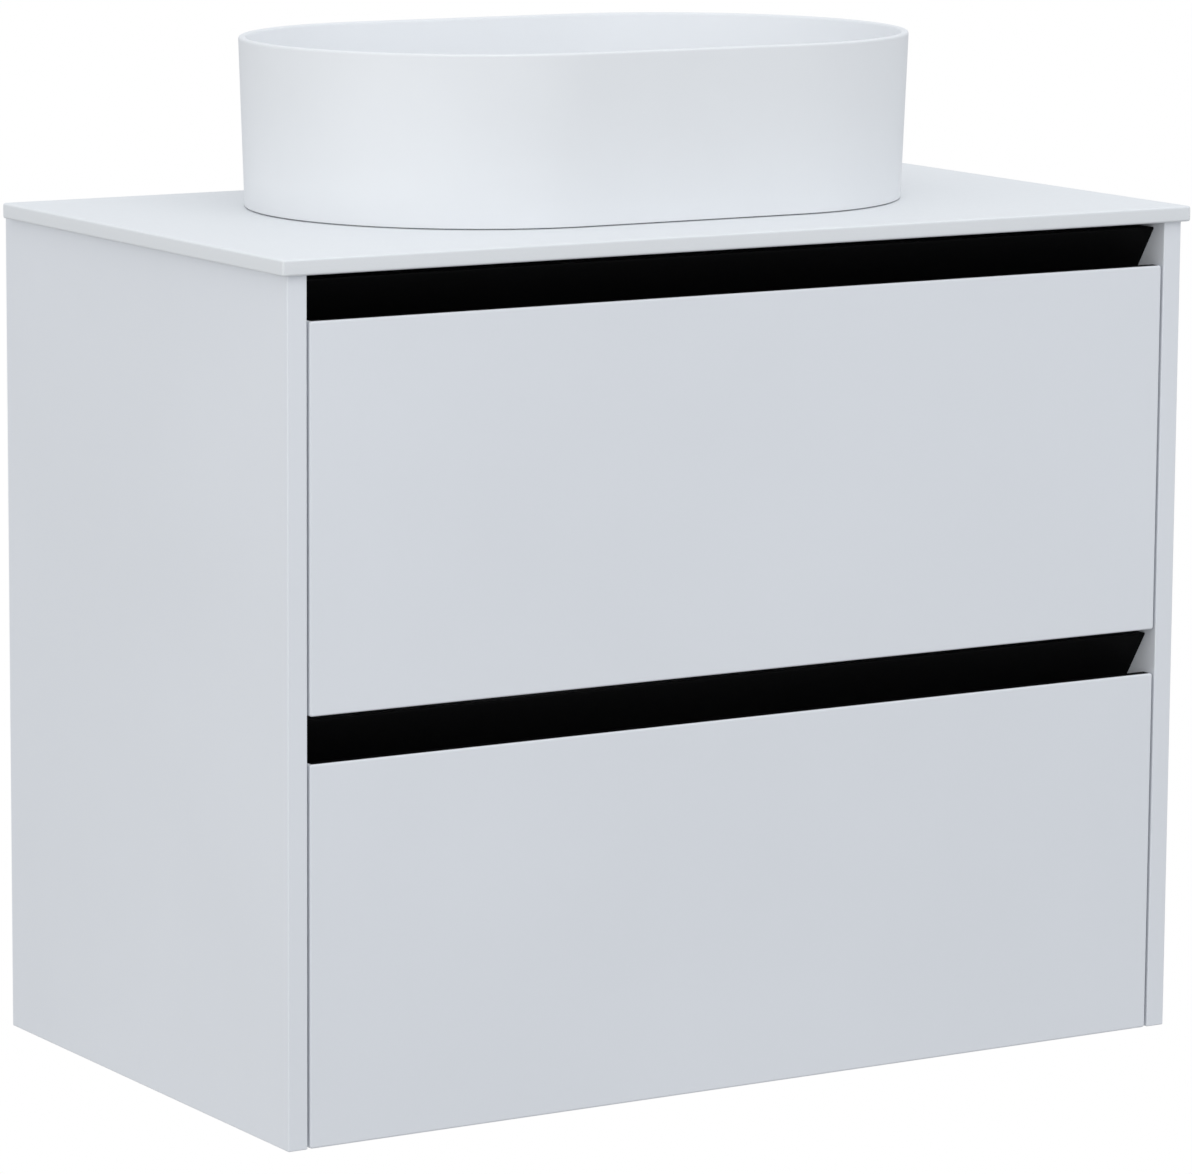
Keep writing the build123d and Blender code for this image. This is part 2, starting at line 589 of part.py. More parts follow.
def build_basin():
    """A stadium bowl with a thin rim, bedded on a ring of sealant."""
    base_length = BASIN_LENGTH - 2 * BASIN_BASE_INSET
    base_width = BASIN_WIDTH - 2 * BASIN_BASE_INSET
    rim_z = BASIN_Z + BASIN_HEIGHT
    shell = loft([stadium(base_length, base_width, BASIN_Z), stadium(BASIN_LENGTH, BASIN_WIDTH, rim_z)])
    shell = fillet(shell.edges().group_by(Axis.Z)[0], BASIN_FOOT_RADIUS)
    mouth = 2 * BASIN_WALL
    narrow = mouth + 2 * BASIN_INNER_DRAFT
    floor_outline = stadium(BASIN_LENGTH - narrow, BASIN_WIDTH - narrow, BASIN_FLOOR_Z)
    rim_outline = stadium(BASIN_LENGTH - mouth, BASIN_WIDTH - mouth, rim_z)
    hollow = loft([floor_outline, rim_outline])
    hollow = fillet(hollow.edges().group_by(Axis.Z)[0], BASIN_INNER_RADIUS)
    shell -= hollow
    fall_z = BASIN_FLOOR_Z - BASIN_FLOOR_FALL
    flat = narrow + 2 * BASIN_INNER_RADIUS
    shell -= loft([
        stadium(4 * BASIN_RECESS_RADIUS, 2.4 * BASIN_RECESS_RADIUS, fall_z),
        stadium(BASIN_LENGTH - flat, BASIN_WIDTH - flat, BASIN_FLOOR_Z),
    ])
    shell = fillet(shell.edges().group_by(Axis.Z)[-1], BASIN_RIM_RADIUS)
    shell -= rod((0, BASIN_Y, fall_z + 1), (0, 0, -1), BASIN_RECESS_RADIUS, BASIN_RECESS_DEPTH + 1)
    shell -= rod((0, BASIN_Y, fall_z + 1), (0, 0, -1), BASIN_WASTE_HOLE_RADIUS, 60)
    nodes["basin"] = shell

    bed_out = 2 * (BASIN_BASE_INSET + SEALANT_INSET)
    bed_in = bed_out + 2 * SEALANT_WIDTH
    ring = stadium(BASIN_LENGTH - bed_out, BASIN_WIDTH - bed_out, TOP_Z)
    ring -= stadium(BASIN_LENGTH - bed_in, BASIN_WIDTH - bed_in, TOP_Z)
    nodes["basin_sealant"] = extrude(ring, SEALANT)


def turned(points):
    """A solid turned about the waste's upright axis from (radius, height) points."""
    return Pos(0, BASIN_Y, 0) * revolve(Plane.XZ * make_face(Polyline(*points, close=True)), Axis.Z)


def build_waste():
    """The push-button waste: body with its cartridge holder, seals and back nut."""
    at = (0, BASIN_Y)
    seat = WASTE_SEAT_Z + GASKET
    top = FLANGE_TOP_Z
    relief_z = TAIL_BOTTOM_Z + TRAP_THREAD
    body = turned([
        (TAIL_BORE_RADIUS, TAIL_BOTTOM_Z),
        (TAIL_RADIUS, TAIL_BOTTOM_Z),
        (TAIL_RADIUS, relief_z),
        (TAIL_RADIUS - RELIEF_DEPTH, relief_z),
        (TAIL_RADIUS - RELIEF_DEPTH, relief_z + RELIEF_WIDTH),
        (TAIL_RADIUS, relief_z + RELIEF_WIDTH),
        (TAIL_RADIUS, seat),
        (FLANGE_RADIUS, seat),
        (FLANGE_RADIUS, seat + 1.6),
        (FLANGE_RADIUS - 2.5, top),
        (TAIL_BORE_RADIUS + 3.5, top),
        (TAIL_BORE_RADIUS, top - 3.5),
    ])
    holder_z0 = top - CARTRIDGE_DROP - 22
    holder_z1 = holder_z0 + 18
    body += tube(CARTRIDGE_RADIUS + HOLE_EASE, CARTRIDGE_RADIUS + 2, holder_z0, holder_z1, at)
    rib = block(CARTRIDGE_RADIUS + 1.5, TAIL_BORE_RADIUS + 1, -1, 1, holder_z0, holder_z1)
    for turn in (45, 135, 225, 315):
        body += Pos(0, BASIN_Y, 0) * Rot(0, 0, turn) * rib
    nodes["waste_body"] = body
    bore = TAIL_RADIUS + WASHER_EASE
    washer_z = CASE_HEIGHT - WASHER
    nodes["waste_flange_gasket"] = tube(bore, FLANGE_RADIUS - 1, WASTE_SEAT_Z, seat, at)
    nodes["waste_lower_washer"] = tube(bore, FLANGE_RADIUS, washer_z, CASE_HEIGHT, at)
    nut = extrude(RegularPolygon(BACK_NUT_RADIUS, 6), BACK_NUT_HEIGHT)
    nut = chamfer(nut.edges().filter_by(Axis.Z), 1.0) - Cylinder(TAIL_RADIUS + 0.03, 4 * BACK_NUT_HEIGHT)
    nodes["waste_back_nut"] = Pos(0, BASIN_Y, washer_z - BACK_NUT_HEIGHT) * nut


def build_plug():
    """The waste's moving plug with its seal and stem, and the cartridge and spring that lift it."""
    lid_z = FLANGE_TOP_Z - CARTRIDGE_DROP
    foot_z = lid_z - CARTRIDGE_HEIGHT
    floor_z = foot_z + CARTRIDGE_FLOOR
    neck = PLUG_STEM_RADIUS + SLIDING_EASE
    nodes["plug_cartridge"] = turned([
        (0, foot_z),
        (CARTRIDGE_RADIUS, foot_z),
        (CARTRIDGE_RADIUS, lid_z),
        (neck, lid_z),
        (neck, lid_z - CARTRIDGE_LID),
        (CARTRIDGE_BORE, lid_z - CARTRIDGE_LID),
        (CARTRIDGE_BORE, floor_z),
        (0, floor_z),
    ])

    collar_top = lid_z - CARTRIDGE_LID - 0.1
    collar_foot = collar_top - STEM_COLLAR
    cap_z = FLANGE_TOP_Z + PLUG_TRAVEL + PLUG_REST_GAP + PLUG_SEAL
    stem = rod((0, BASIN_Y, collar_foot), (0, 0, 1), STEM_COLLAR_RADIUS, STEM_COLLAR)
    stem += rod((0, BASIN_Y, collar_top), (0, 0, 1), PLUG_STEM_RADIUS, cap_z + STEM_IN_PLUG - collar_top)
    nodes["plug_stem"] = stem
    bulge = (PLUG_RADIUS**2 + PLUG_DOME**2) / (2 * PLUG_DOME)
    dome = Pos(0, 0, PLUG_HEIGHT - bulge) * Sphere(bulge)
    cap = Cylinder(PLUG_RADIUS, PLUG_HEIGHT, align=UPWARDS) & dome
    cap = fillet(cap.edges().filter_by(GeomType.CIRCLE).group_by(Axis.Z)[0], 0.8)
    cap -= rod((0, 0, -1), (0, 0, 1), PLUG_STEM_RADIUS + 0.02, STEM_IN_PLUG + 1.1)
    nodes["waste_plug"] = Pos(0, BASIN_Y, cap_z) * cap
    nodes["plug_seal"] = tube(PLUG_SEAL_INNER, PLUG_SEAL_OUTER, cap_z - PLUG_SEAL, cap_z, (0, BASIN_Y))

    coil = collar_foot - floor_z - 0.1 - 2 * SPRING_WIRE
    path = Helix(pitch=coil / SPRING_TURNS, height=coil, radius=SPRING_RADIUS)
    section = Plane(origin=path @ 0, z_dir=path % 0) * Circle(SPRING_WIRE)
    nodes["plug_spring"] = Pos(0, BASIN_Y, floor_z + 0.05 + SPRING_WIRE) * sweep(section, path)


def main():
    """Build every piece and write it to parts/ in the object's own frame."""
    build_cabinet()
    build_countertop()
    build_channels()
    for name in RUNNER_LEVELS:
        build_runners(name)
    screws = runner_panel_screws()
    nodes["runner_cabinet_screws"] = group([p for s in screws for p in both_sides(s)])
    build_drawer("upper", UPPER_FRONT_Z, UPPER_FRONT_TOP, UPPER_BOX_Z, plumbing=True)
    build_drawer("lower", 0, LOWER_FRONT_HEIGHT, LOWER_BOX_Z)
    build_basin()
    build_waste()
    build_plug()
    os.makedirs("parts", exist_ok=True)
    for name, shape in nodes.items():
        export_step(Pos(0, 0, -ORIGIN_Z) * shape, f"parts/{name}.step")
    print(len(nodes), "nodes written")


main()
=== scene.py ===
"""Wall-hung two-drawer vanity with a stadium-shaped vessel basin: the visual model.

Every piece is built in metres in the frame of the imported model: the wall plane is y = 0, the front
faces -Y and +Z is up. Places and overall sizes come from the frame's nodes; the small sizes that a
maker would choose, such as edge radii and wall thicknesses, are the fields of each sub-assembly.
"""

import json
import logging
from dataclasses import dataclass, field, fields
from enum import Enum
from math import atan2, cos, pi, radians, sin, tan
from typing import Callable, Sequence

import bmesh
import bpy
from mathutils import Matrix, Vector

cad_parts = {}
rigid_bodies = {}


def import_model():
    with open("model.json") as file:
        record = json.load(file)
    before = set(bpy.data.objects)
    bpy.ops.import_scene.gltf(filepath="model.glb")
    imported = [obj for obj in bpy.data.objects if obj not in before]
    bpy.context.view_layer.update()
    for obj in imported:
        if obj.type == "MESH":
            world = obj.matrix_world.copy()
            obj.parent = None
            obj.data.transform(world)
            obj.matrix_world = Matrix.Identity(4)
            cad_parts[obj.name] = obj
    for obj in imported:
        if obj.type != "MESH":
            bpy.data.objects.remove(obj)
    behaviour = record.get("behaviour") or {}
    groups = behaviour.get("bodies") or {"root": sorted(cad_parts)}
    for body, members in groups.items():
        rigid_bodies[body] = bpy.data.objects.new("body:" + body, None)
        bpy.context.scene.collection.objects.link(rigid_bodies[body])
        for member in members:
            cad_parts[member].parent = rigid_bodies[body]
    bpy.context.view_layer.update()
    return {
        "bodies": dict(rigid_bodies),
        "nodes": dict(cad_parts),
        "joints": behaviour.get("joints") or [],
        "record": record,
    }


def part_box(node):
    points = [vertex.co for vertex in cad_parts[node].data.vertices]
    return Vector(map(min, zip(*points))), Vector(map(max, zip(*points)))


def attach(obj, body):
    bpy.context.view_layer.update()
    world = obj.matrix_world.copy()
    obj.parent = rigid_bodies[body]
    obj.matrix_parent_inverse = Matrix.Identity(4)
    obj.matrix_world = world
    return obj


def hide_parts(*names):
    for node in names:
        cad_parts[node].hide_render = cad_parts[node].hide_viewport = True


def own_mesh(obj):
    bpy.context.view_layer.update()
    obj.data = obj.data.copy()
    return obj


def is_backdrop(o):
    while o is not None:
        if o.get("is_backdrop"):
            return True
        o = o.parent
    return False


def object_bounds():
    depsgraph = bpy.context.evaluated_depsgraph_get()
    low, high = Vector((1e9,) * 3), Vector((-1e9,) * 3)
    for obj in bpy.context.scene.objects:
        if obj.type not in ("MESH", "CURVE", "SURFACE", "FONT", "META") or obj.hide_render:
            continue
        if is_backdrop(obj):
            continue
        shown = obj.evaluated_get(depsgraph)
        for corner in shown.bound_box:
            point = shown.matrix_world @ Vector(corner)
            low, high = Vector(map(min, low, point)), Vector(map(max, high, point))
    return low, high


log = logging.getLogger("vanity")

MM = 0.001
TOUCH = 1e-5
SHARP_EDGE = radians(60)

Triple = tuple[float, float, float]
Pair = tuple[float, float]
Socket = bpy.types.NodeSocket
Mesh = bmesh.types.BMesh
Edge = bmesh.types.BMEdge
EdgeTest = Callable[[Edge], bool]


class Side(Enum):
    """The two ends of the cabinet, as the frame's nodes spell them."""

    LEFT = "left"
    RIGHT = "right"


class Level(Enum):
    """The two drawers and what goes with them, as the frame's nodes spell them."""

    UPPER = "upper"
    LOWER = "lower"


class Grain(Enum):
    """The axis that a pattern or an edge runs along."""

    X = 0
    Y = 1
    Z = 2


# Finishes


class NodeDesk:
    """A short way to lay out a material's nodes."""

    def __init__(self, name: str) -> None:
        """Start an empty material.

        Args:
            name: The material's name.
        """
        self.material = bpy.data.materials.new(name)
        self.material.use_nodes = True
        self.tree = self.material.node_tree
        self.tree.nodes.clear()
        self.output = self.node("OutputMaterial")
        self.shader = self.node("BsdfPrincipled")
        self.link(self.shader.outputs["BSDF"], self.output.inputs["Surface"])
        self.place = self.node("TexCoord").outputs["Object"]

    def node(self, kind: str, **values: float | Sequence[float]) -> bpy.types.Node:
        """Add a node.

        Args:
            kind: Its type, without the part that all shader nodes share.
            **values: Constant values for its sockets, named with underscores for spaces.

        Returns:
            The node.
        """
        return self.set(self.tree.nodes.new("ShaderNode" + kind), **values)

    def set(self, node: bpy.types.Node, **values: float | Sequence[float]) -> bpy.types.Node:
        """Set constant values on a node's sockets.

        Args:
            node: The node.
            **values: The values, named with underscores for spaces.

        Returns:
            The node.
        """
        for key, value in values.items():
            node.inputs[key.replace("_", " ")].default_value = value
        return node

    def link(self, source: Socket, target: Socket) -> None:
        """Join two sockets."""
        self.tree.links.new(source, target)

    def stretched(self, scale: Sequence[float]) -> Socket:
        """Object coordinates, with a scale for each axis."""
        mapping = self.node("Mapping", Scale=scale)
        self.link(self.place, mapping.inputs["Vector"])
        return mapping.outputs["Vector"]

    def noise(
        self, scale: float, detail: float = 3.0, rough: float = 0.5, at: Socket | None = None
    ) -> Socket:
        """A noise value, about 0.5 on average.

        Args:
            scale: Features per metre.
            detail: Octaves.
            rough: How strong the finer octaves are.
            at: The coordinates it reads, or None for plain object coordinates.

        Returns:
            The value socket.
        """
        node = self.node("TexNoise", Scale=scale, Detail=detail, Roughness=rough)
        self.link(at or self.place, node.inputs["Vector"])
        return node.outputs["Fac"]

    def cells(self, scale: float, at: Socket | None = None) -> Socket:
        """The distance to the nearest cell centre of a Voronoi pattern.

        Args:
            scale: Cells per metre.
            at: The coordinates it reads, or None for plain object coordinates.

        Returns:
            The distance socket.
        """
        node = self.node("TexVoronoi", Scale=scale)
        self.link(at or self.place, node.inputs["Vector"])
        return node.outputs["Distance"]

    def spread(self, value: Socket, source: Pair, to: Pair = (0.0, 1.0)) -> Socket:
        """Map a value's range onto another, clamped.

        Args:
            value: The value socket.
            source: The range that is read.
            to: The range that comes out.

        Returns:
            The mapped value socket.
        """
        ends = dict(zip(("From_Min", "From_Max", "To_Min", "To_Max"), source + to))
        node = self.node("MapRange", **ends)
        self.link(value, node.inputs["Value"])
        return node.outputs["Result"]

    def combined(self, one: Socket, two: Socket, operation: str = "MULTIPLY") -> Socket:
        """Combine two values with a math operation.

        Args:
            one: The first value socket.
            two: The second value socket.
            operation: The math operation.

        Returns:
            The result socket.
        """
        node = self.node("Math")
        node.operation = operation
        self.link(one, node.inputs[0])
        self.link(two, node.inputs[1])
        return node.outputs["Value"]

    def tint(self, share: Socket, one: Sequence[float], two: Sequence[float]) -> None:
        """Colour the surface between two colours.

        Args:
            share: How much of the second colour.
            one: The first colour.
            two: The second colour.
        """
        node = self.node("Mix")
        node.data_type = "RGBA"
        self.link(share, node.inputs["Factor"])
        self.set(node, A=(*one, 1.0), B=(*two, 1.0))
        self.link(node.outputs["Result"], self.shader.inputs["Base Color"])

    def dull(self, value: Socket, source: Pair, to: Pair) -> None:
        """Let the roughness follow a value.

        Args:
            value: The value socket.
            source: The range that is read.
            to: The roughness at its two ends.
        """
        self.link(self.spread(value, source, to), self.shader.inputs["Roughness"])

    def raise_by(self, height: Socket, depth: float, strength: float) -> None:
        """Bump the surface, on top of any bump it already has.

        Args:
            height: The height value socket.
            depth: The height in metres that a value of 1 stands for.
            strength: How strongly it shows.
        """
        bump = self.node("Bump", Strength=strength, Distance=depth)
        self.link(height, bump.inputs["Height"])
        normal = self.shader.inputs["Normal"]
        if normal.links:
            self.link(normal.links[0].from_socket, bump.inputs["Normal"])
        self.link(bump.outputs["Normal"], normal)


def shade(colour: Sequence[float], factor: float) -> Triple:
    """A colour made lighter or darker by a factor."""
    return tuple(min(channel * factor, 1.0) for channel in colour)


def streaked(grain: Grain, across: float, lengthwise: float) -> list[float]:
    """The scale of a pattern that runs along an axis.

    Args:
        grain: The axis.
        across: Features per metre across it.
        lengthwise: Features per metre along it.

    Returns:
        The scale for each axis.
    """
    return [lengthwise if axis is grain else across for axis in Grain]


@dataclass(frozen=True)
class Finish:
    """A finish: its name, the record's material slot and its main colour."""

    name: str
    slot: str
    colour: Triple

    def material(self) -> bpy.types.Material:
        """The finish's material, laid out on first use.

        Its name differs from the plain material that the frame brings for the slot.
        """
        label = f"{self.name}_finish"
        made = bpy.data.materials.get(label)
        if made is None:
            desk = NodeDesk(label)
            self.lay(desk)
            made = desk.material
        return made

    def lay(self, desk: NodeDesk) -> None:
        """Lay out the nodes of the finish.

        Args:
            desk: The new material's desk.
        """
        raise NotImplementedError


@dataclass(frozen=True)
class SprayedLacquer(Finish):
    """Matt lacquer sprayed on fibreboard: faint orange peel, near-even colour."""

    roughness: float = 0.42

    def lay(self, desk: NodeDesk) -> None:
        """Lay out the lacquer."""
        cloud = desk.spread(desk.noise(3.5, 4, 0.55), (0.3, 0.7))
        desk.tint(cloud, shade(self.colour, 0.985), shade(self.colour, 1.01))
        sheen = desk.combined(desk.noise(9.0, 3), desk.noise(620.0, 2))
        desk.dull(sheen, (0.1, 0.4), (self.roughness - 0.05, self.roughness + 0.07))
        desk.raise_by(desk.noise(520.0, 2, 0.4), 0.00002, 0.35)
        desk.raise_by(desk.noise(60.0, 2, 0.4), 0.00006, 0.2)
        desk.set(desk.shader, Specular_IOR_Level=0.42)


@dataclass(frozen=True)
class PressedMelamine(Finish):
    """White melamine foil on chipboard, pressed with a fine pearl texture."""

    roughness: float = 0.5

    def lay(self, desk: NodeDesk) -> None:
        """Lay out the melamine."""
        pearl = desk.cells(900.0)
        desk.tint(desk.spread(desk.noise(5.0, 3), (0.3, 0.7)), shade(self.colour, 0.97), self.colour)
        desk.dull(pearl, (0.1, 0.7), (self.roughness - 0.1, self.roughness + 0.1))
        desk.raise_by(pearl, 0.00005, 0.4)


@dataclass(frozen=True)
class LinenMelamine(Finish):
    """Pale grey drawer board with a printed and embossed linen weave."""

    thread: Triple = (0.42, 0.41, 0.39)
    pitch: float = 1100.0
    slub: float = 38.5

    def lay(self, desk: NodeDesk) -> None:
        """Lay out the linen board."""
        scales = [streaked(axis, self.pitch, self.slub) for axis in Grain]
        yarns = [desk.noise(1.0, 2, 0.6, desk.stretched(scale)) for scale in scales]
        weave = desk.combined(desk.combined(yarns[0], yarns[1], "MAXIMUM"), yarns[2], "MAXIMUM")
        desk.tint(desk.spread(weave, (0.5, 0.78)), self.thread, self.colour)
        desk.dull(weave, (0.4, 0.8), (0.62, 0.45))
        desk.raise_by(weave, 0.00006, 0.5)


@dataclass(frozen=True)
class RawChipboard(Finish):
    """The unlipped edge of a chipboard: pressed wood chips of mixed size."""

    dark: Triple = (0.26, 0.17, 0.09)

    def lay(self, desk: NodeDesk) -> None:
        """Lay out the chipboard."""
        chips = desk.cells(420.0, desk.stretched((1.0, 1.0, 0.35)))
        share = desk.combined(desk.spread(chips, (0.05, 0.6)), desk.noise(900.0, 4, 0.7))
        desk.tint(desk.spread(share, (0.0, 0.5)), self.dark, self.colour)
        desk.raise_by(share, 0.0003, 0.8)
        desk.set(desk.shader, Roughness=0.9)


@dataclass(frozen=True)
class SolidSurface(Finish):
    """Cast mineral slab, sanded matt, with a very fine grain."""

    def lay(self, desk: NodeDesk) -> None:
        """Lay out the slab's finish."""
        grain = desk.noise(1500.0, 3, 0.7)
        cloud = desk.spread(desk.noise(4.0, 4, 0.5), (0.3, 0.7), (0.4, 1.0))
        share = desk.combined(desk.spread(grain, (0.3, 0.7)), cloud)
        desk.tint(share, shade(self.colour, 0.975), shade(self.colour, 1.01))
        desk.dull(desk.noise(260.0, 3), (0.3, 0.7), (0.4, 0.5))
        desk.raise_by(grain, 0.00002, 0.3)


@dataclass(frozen=True)
class MattGlaze(Finish):
    """Fired ceramic under a matt glaze: slight waviness, fine pin texture, faint tint where it pools."""

    def lay(self, desk: NodeDesk) -> None:
        """Lay out the glaze."""
        pool = desk.spread(desk.noise(14.0, 3, 0.5), (0.3, 0.7))
        desk.tint(pool, shade(self.colour, 0.985), self.colour)
        pins = desk.cells(1300.0)
        desk.dull(pins, (0.1, 0.8), (0.48, 0.58))
        desk.raise_by(desk.noise(28.0, 2, 0.4), 0.0003, 0.25)
        desk.raise_by(pins, 0.00002, 0.3)
        desk.set(desk.shader, Coat_Weight=0.04, Coat_Roughness=0.4, Specular_IOR_Level=0.38)


@dataclass(frozen=True)
class PowderCoat(Finish):
    """Fine-texture matt powder coat on folded aluminium."""

    def lay(self, desk: NodeDesk) -> None:
        """Lay out the powder coat."""
        grit = desk.cells(1700.0)
        rise = desk.noise(700.0, 4, 0.6)
        desk.tint(desk.spread(rise, (0.35, 0.65)), shade(self.colour, 0.7), shade(self.colour, 1.35))
        desk.dull(grit, (0.1, 0.8), (0.5, 0.65))
        desk.raise_by(desk.combined(grit, rise, "ADD"), 0.00006, 0.6)
        desk.set(desk.shader, Specular_IOR_Level=0.07)


@dataclass(frozen=True)
class RolledMetal(Finish):
    """Bare or plated metal with drawn or rolled streaks along one axis, and faint staining."""

    grain: Grain = Grain.Y
    roughness: float = 0.3
    streaks: float = 900.0
    stain: float = 0.85

    def lay(self, desk: NodeDesk) -> None:
        """Lay out the metal."""
        scale = streaked(self.grain, self.streaks, self.streaks * 0.01)
        lines = desk.noise(1.0, 4, 0.6, desk.stretched(scale))
        patch = desk.spread(desk.noise(45.0, 4, 0.6), (0.35, 0.7))
        desk.tint(patch, shade(self.colour, self.stain), self.colour)
        desk.dull(lines, (0.25, 0.75), (self.roughness * 0.7, self.roughness * 1.4))
        desk.raise_by(lines, 0.00001, 0.35)
        desk.set(desk.shader, Metallic=1.0)


@dataclass(frozen=True)
class MouldedPiece(Finish):
    """Moulded rubber, silicone or plastic with a fine mould texture."""

    roughness: float = 0.6
    clear: float = 0.0

    def lay(self, desk: NodeDesk) -> None:
        """Lay out the moulded finish."""
        skin = desk.noise(800.0, 3, 0.6)
        desk.tint(desk.spread(skin, (0.3, 0.7)), shade(self.colour, 0.85), shade(self.colour, 1.1))
        desk.dull(desk.noise(120.0, 3), (0.3, 0.7), (self.roughness - 0.08, self.roughness + 0.08))
        desk.raise_by(skin, 0.00004, 0.4)
        desk.set(desk.shader, Subsurface_Weight=self.clear, Subsurface_Scale=0.002)


@dataclass(frozen=True)
class TurnedWood(Finish):
    """Beech with short dark flecks along the grain."""

    grain: Grain = Grain.X

    def lay(self, desk: NodeDesk) -> None:
        """Lay out the beech."""
        growth = desk.noise(1.0, 4, 0.6, desk.stretched(streaked(self.grain, 220.0, 14.0)))
        fleck = desk.noise(1.0, 2, 0.5, desk.stretched(streaked(self.grain, 1400.0, 160.0)))
        share = desk.combined(desk.spread(growth, (0.3, 0.7)), desk.spread(fleck, (0.35, 0.6), (0.2, 1.0)))
        desk.tint(share, shade(self.colour, 0.62), self.colour)
        desk.raise_by(growth, 0.0001, 0.4)
        desk.set(desk.shader, Roughness=0.62)


@dataclass(frozen=True)
class Palette:
    """Every finish on the vanity."""

    lacquer: Finish = SprayedLacquer("white_lacquer", "white_lacquer", (0.80, 0.822, 0.86))
    melamine: Finish = PressedMelamine("white_melamine", "white_melamine", (0.80, 0.81, 0.82))
    linen: Finish = LinenMelamine("linen_board", "linen_board", (0.64, 0.63, 0.60))
    chipboard: Finish = RawChipboard("raw_chipboard", "white_lacquer", (0.62, 0.47, 0.30))
    slab: Finish = SolidSurface("countertop_stone", "countertop_stone", (0.80, 0.82, 0.84))
    glaze: Finish = MattGlaze("basin_ceramic", "basin_ceramic", (0.81, 0.825, 0.845))
    # The near-black is partly the channel's own black and partly painted shade, deepened for the shade deep
    # in the finger gaps.
    coat: Finish = PowderCoat("black_channel", "black_channel", (0.0018, 0.0018, 0.002))
    zinc: Finish = RolledMetal("zinc_steel", "zinc_steel", (0.66, 0.68, 0.70), Grain.Y, 0.3)
    bearing: Finish = RolledMetal("bearing_steel", "bearing_steel", (0.60, 0.60, 0.61), Grain.Y, 0.16)
    screw: Finish = RolledMetal("screw_steel", "screw_steel", (0.62, 0.62, 0.60), Grain.Z, 0.28)
    spring: Finish = RolledMetal("spring_steel", "spring_steel", (0.50, 0.50, 0.50), Grain.X, 0.25)
    chrome: Finish = RolledMetal("chrome", "chrome", (0.80, 0.81, 0.83), Grain.X, 0.07, 300.0, 0.97)
    brass: Finish = RolledMetal("brass", "brass", (0.74, 0.55, 0.26), Grain.X, 0.3)
    rubber: Finish = MouldedPiece("black_rubber", "black_rubber", (0.03, 0.03, 0.031), 0.65)
    silicone: Finish = MouldedPiece("sealant", "sealant", (0.70, 0.71, 0.71), 0.4, 0.2)
    acetal: Finish = MouldedPiece("grey_plastic", "grey_plastic", (0.42, 0.43, 0.45), 0.42)
    beech: Finish = TurnedWood("beech", "beech", (0.70, 0.50, 0.31))

    def by_slot(self) -> dict[str, Finish]:
        """The finishes of the frame's own meshes, by material slot."""
        finishes = [getattr(self, entry.name) for entry in fields(self)]
        return {finish.slot: finish for finish in finishes if finish is not self.chipboard}


# Mesh tools


def solid_box(low: Vector, high: Vector) -> Mesh:
    """A box between two corners.

    Args:
        low: The lowest corner.
        high: The highest corner.

    Returns:
        A new bmesh.
    """
    bm = bmesh.new()
    bmesh.ops.create_cube(bm, size=1.0)
    bmesh.ops.scale(bm, vec=high - low, verts=bm.verts)
    bmesh.ops.translate(bm, vec=(low + high) / 2, verts=bm.verts)
    return bm


def round_edges(bm: Mesh, test: EdgeTest, radius: float, segments: int = 3) -> None:
    """Bevel the edges that pass a test.

    Args:
        bm: The mesh.
        test: Says whether an edge is beveled.
        radius: The bevel's size.
        segments: How many faces it is made of.
    """
    edges = [edge for edge in bm.edges if test(edge)]
    shape = {"offset": radius, "offset_type": "OFFSET", "segments": segments, "profile": 0.5}
    bmesh.ops.bevel(bm, geom=edges, affect="EDGES", clamp_overlap=True, material=-1, **shape)


def on_plane(axis: int, value: float) -> EdgeTest:
    """A test for edges that lie in a plane across an axis."""
    return lambda edge: all(abs(vert.co[axis] - value) < TOUCH for vert in edge.verts)


def along(grain: Grain) -> EdgeTest:
    """A test for edges parallel to an axis."""
    across = [axis.value for axis in Grain if axis is not grain]
    return lambda edge: all(abs(edge.verts[1].co[k] - edge.verts[0].co[k]) < TOUCH for k in across)


def creased(angle: float = SHARP_EDGE) -> EdgeTest:
    """A test for edges between two faces that turn by more than an angle."""
    return lambda edge: edge.calc_face_angle(0) > angle


def every(*tests: EdgeTest) -> EdgeTest:
    """A test that an edge passes when it passes all of the tests."""
    return lambda edge: all(test(edge) for test in tests)


def prism(corners: Sequence[Vector], step: Vector) -> Mesh:
    """A flat outline pulled into a closed solid.

    Args:
        corners: The outline's corners in order.
        step: How far it is pulled, and which way.

    Returns:
        A new bmesh.
    """
    bm = bmesh.new()
    face = bm.faces.new([bm.verts.new(corner) for corner in corners])
    grown = bmesh.ops.extrude_face_region(bm, geom=[face], use_keep_orig=True)
    bmesh.ops.translate(bm, vec=step, verts=picked(grown["geom"], bmesh.types.BMVert))
    return bm


def picked(items: Sequence, kind: type) -> list:
    """The items of one kind."""
    return [item for item in items if isinstance(item, kind)]


def ring_of(bm: Mesh, at: Vector, radius: float, steps: int, axis: int = 2) -> list[Edge]:
    """Add a loop of edges round an axis.

    Args:
        bm: The mesh.
        at: The loop's centre.
        radius: Its radius.
        steps: How many edges.
        axis: The axis it goes round.

    Returns:
        The loop's edges.
    """
    verts = bmesh.ops.create_circle(bm, cap_ends=False, segments=steps, radius=radius)["verts"]
    if axis == 0:
        bmesh.ops.rotate(bm, verts=verts, cent=(0, 0, 0), matrix=Matrix.Rotation(pi / 2, 3, "Y"))
    bmesh.ops.translate(bm, vec=at, verts=verts)
    return list({edge for vert in verts for edge in vert.link_edges})


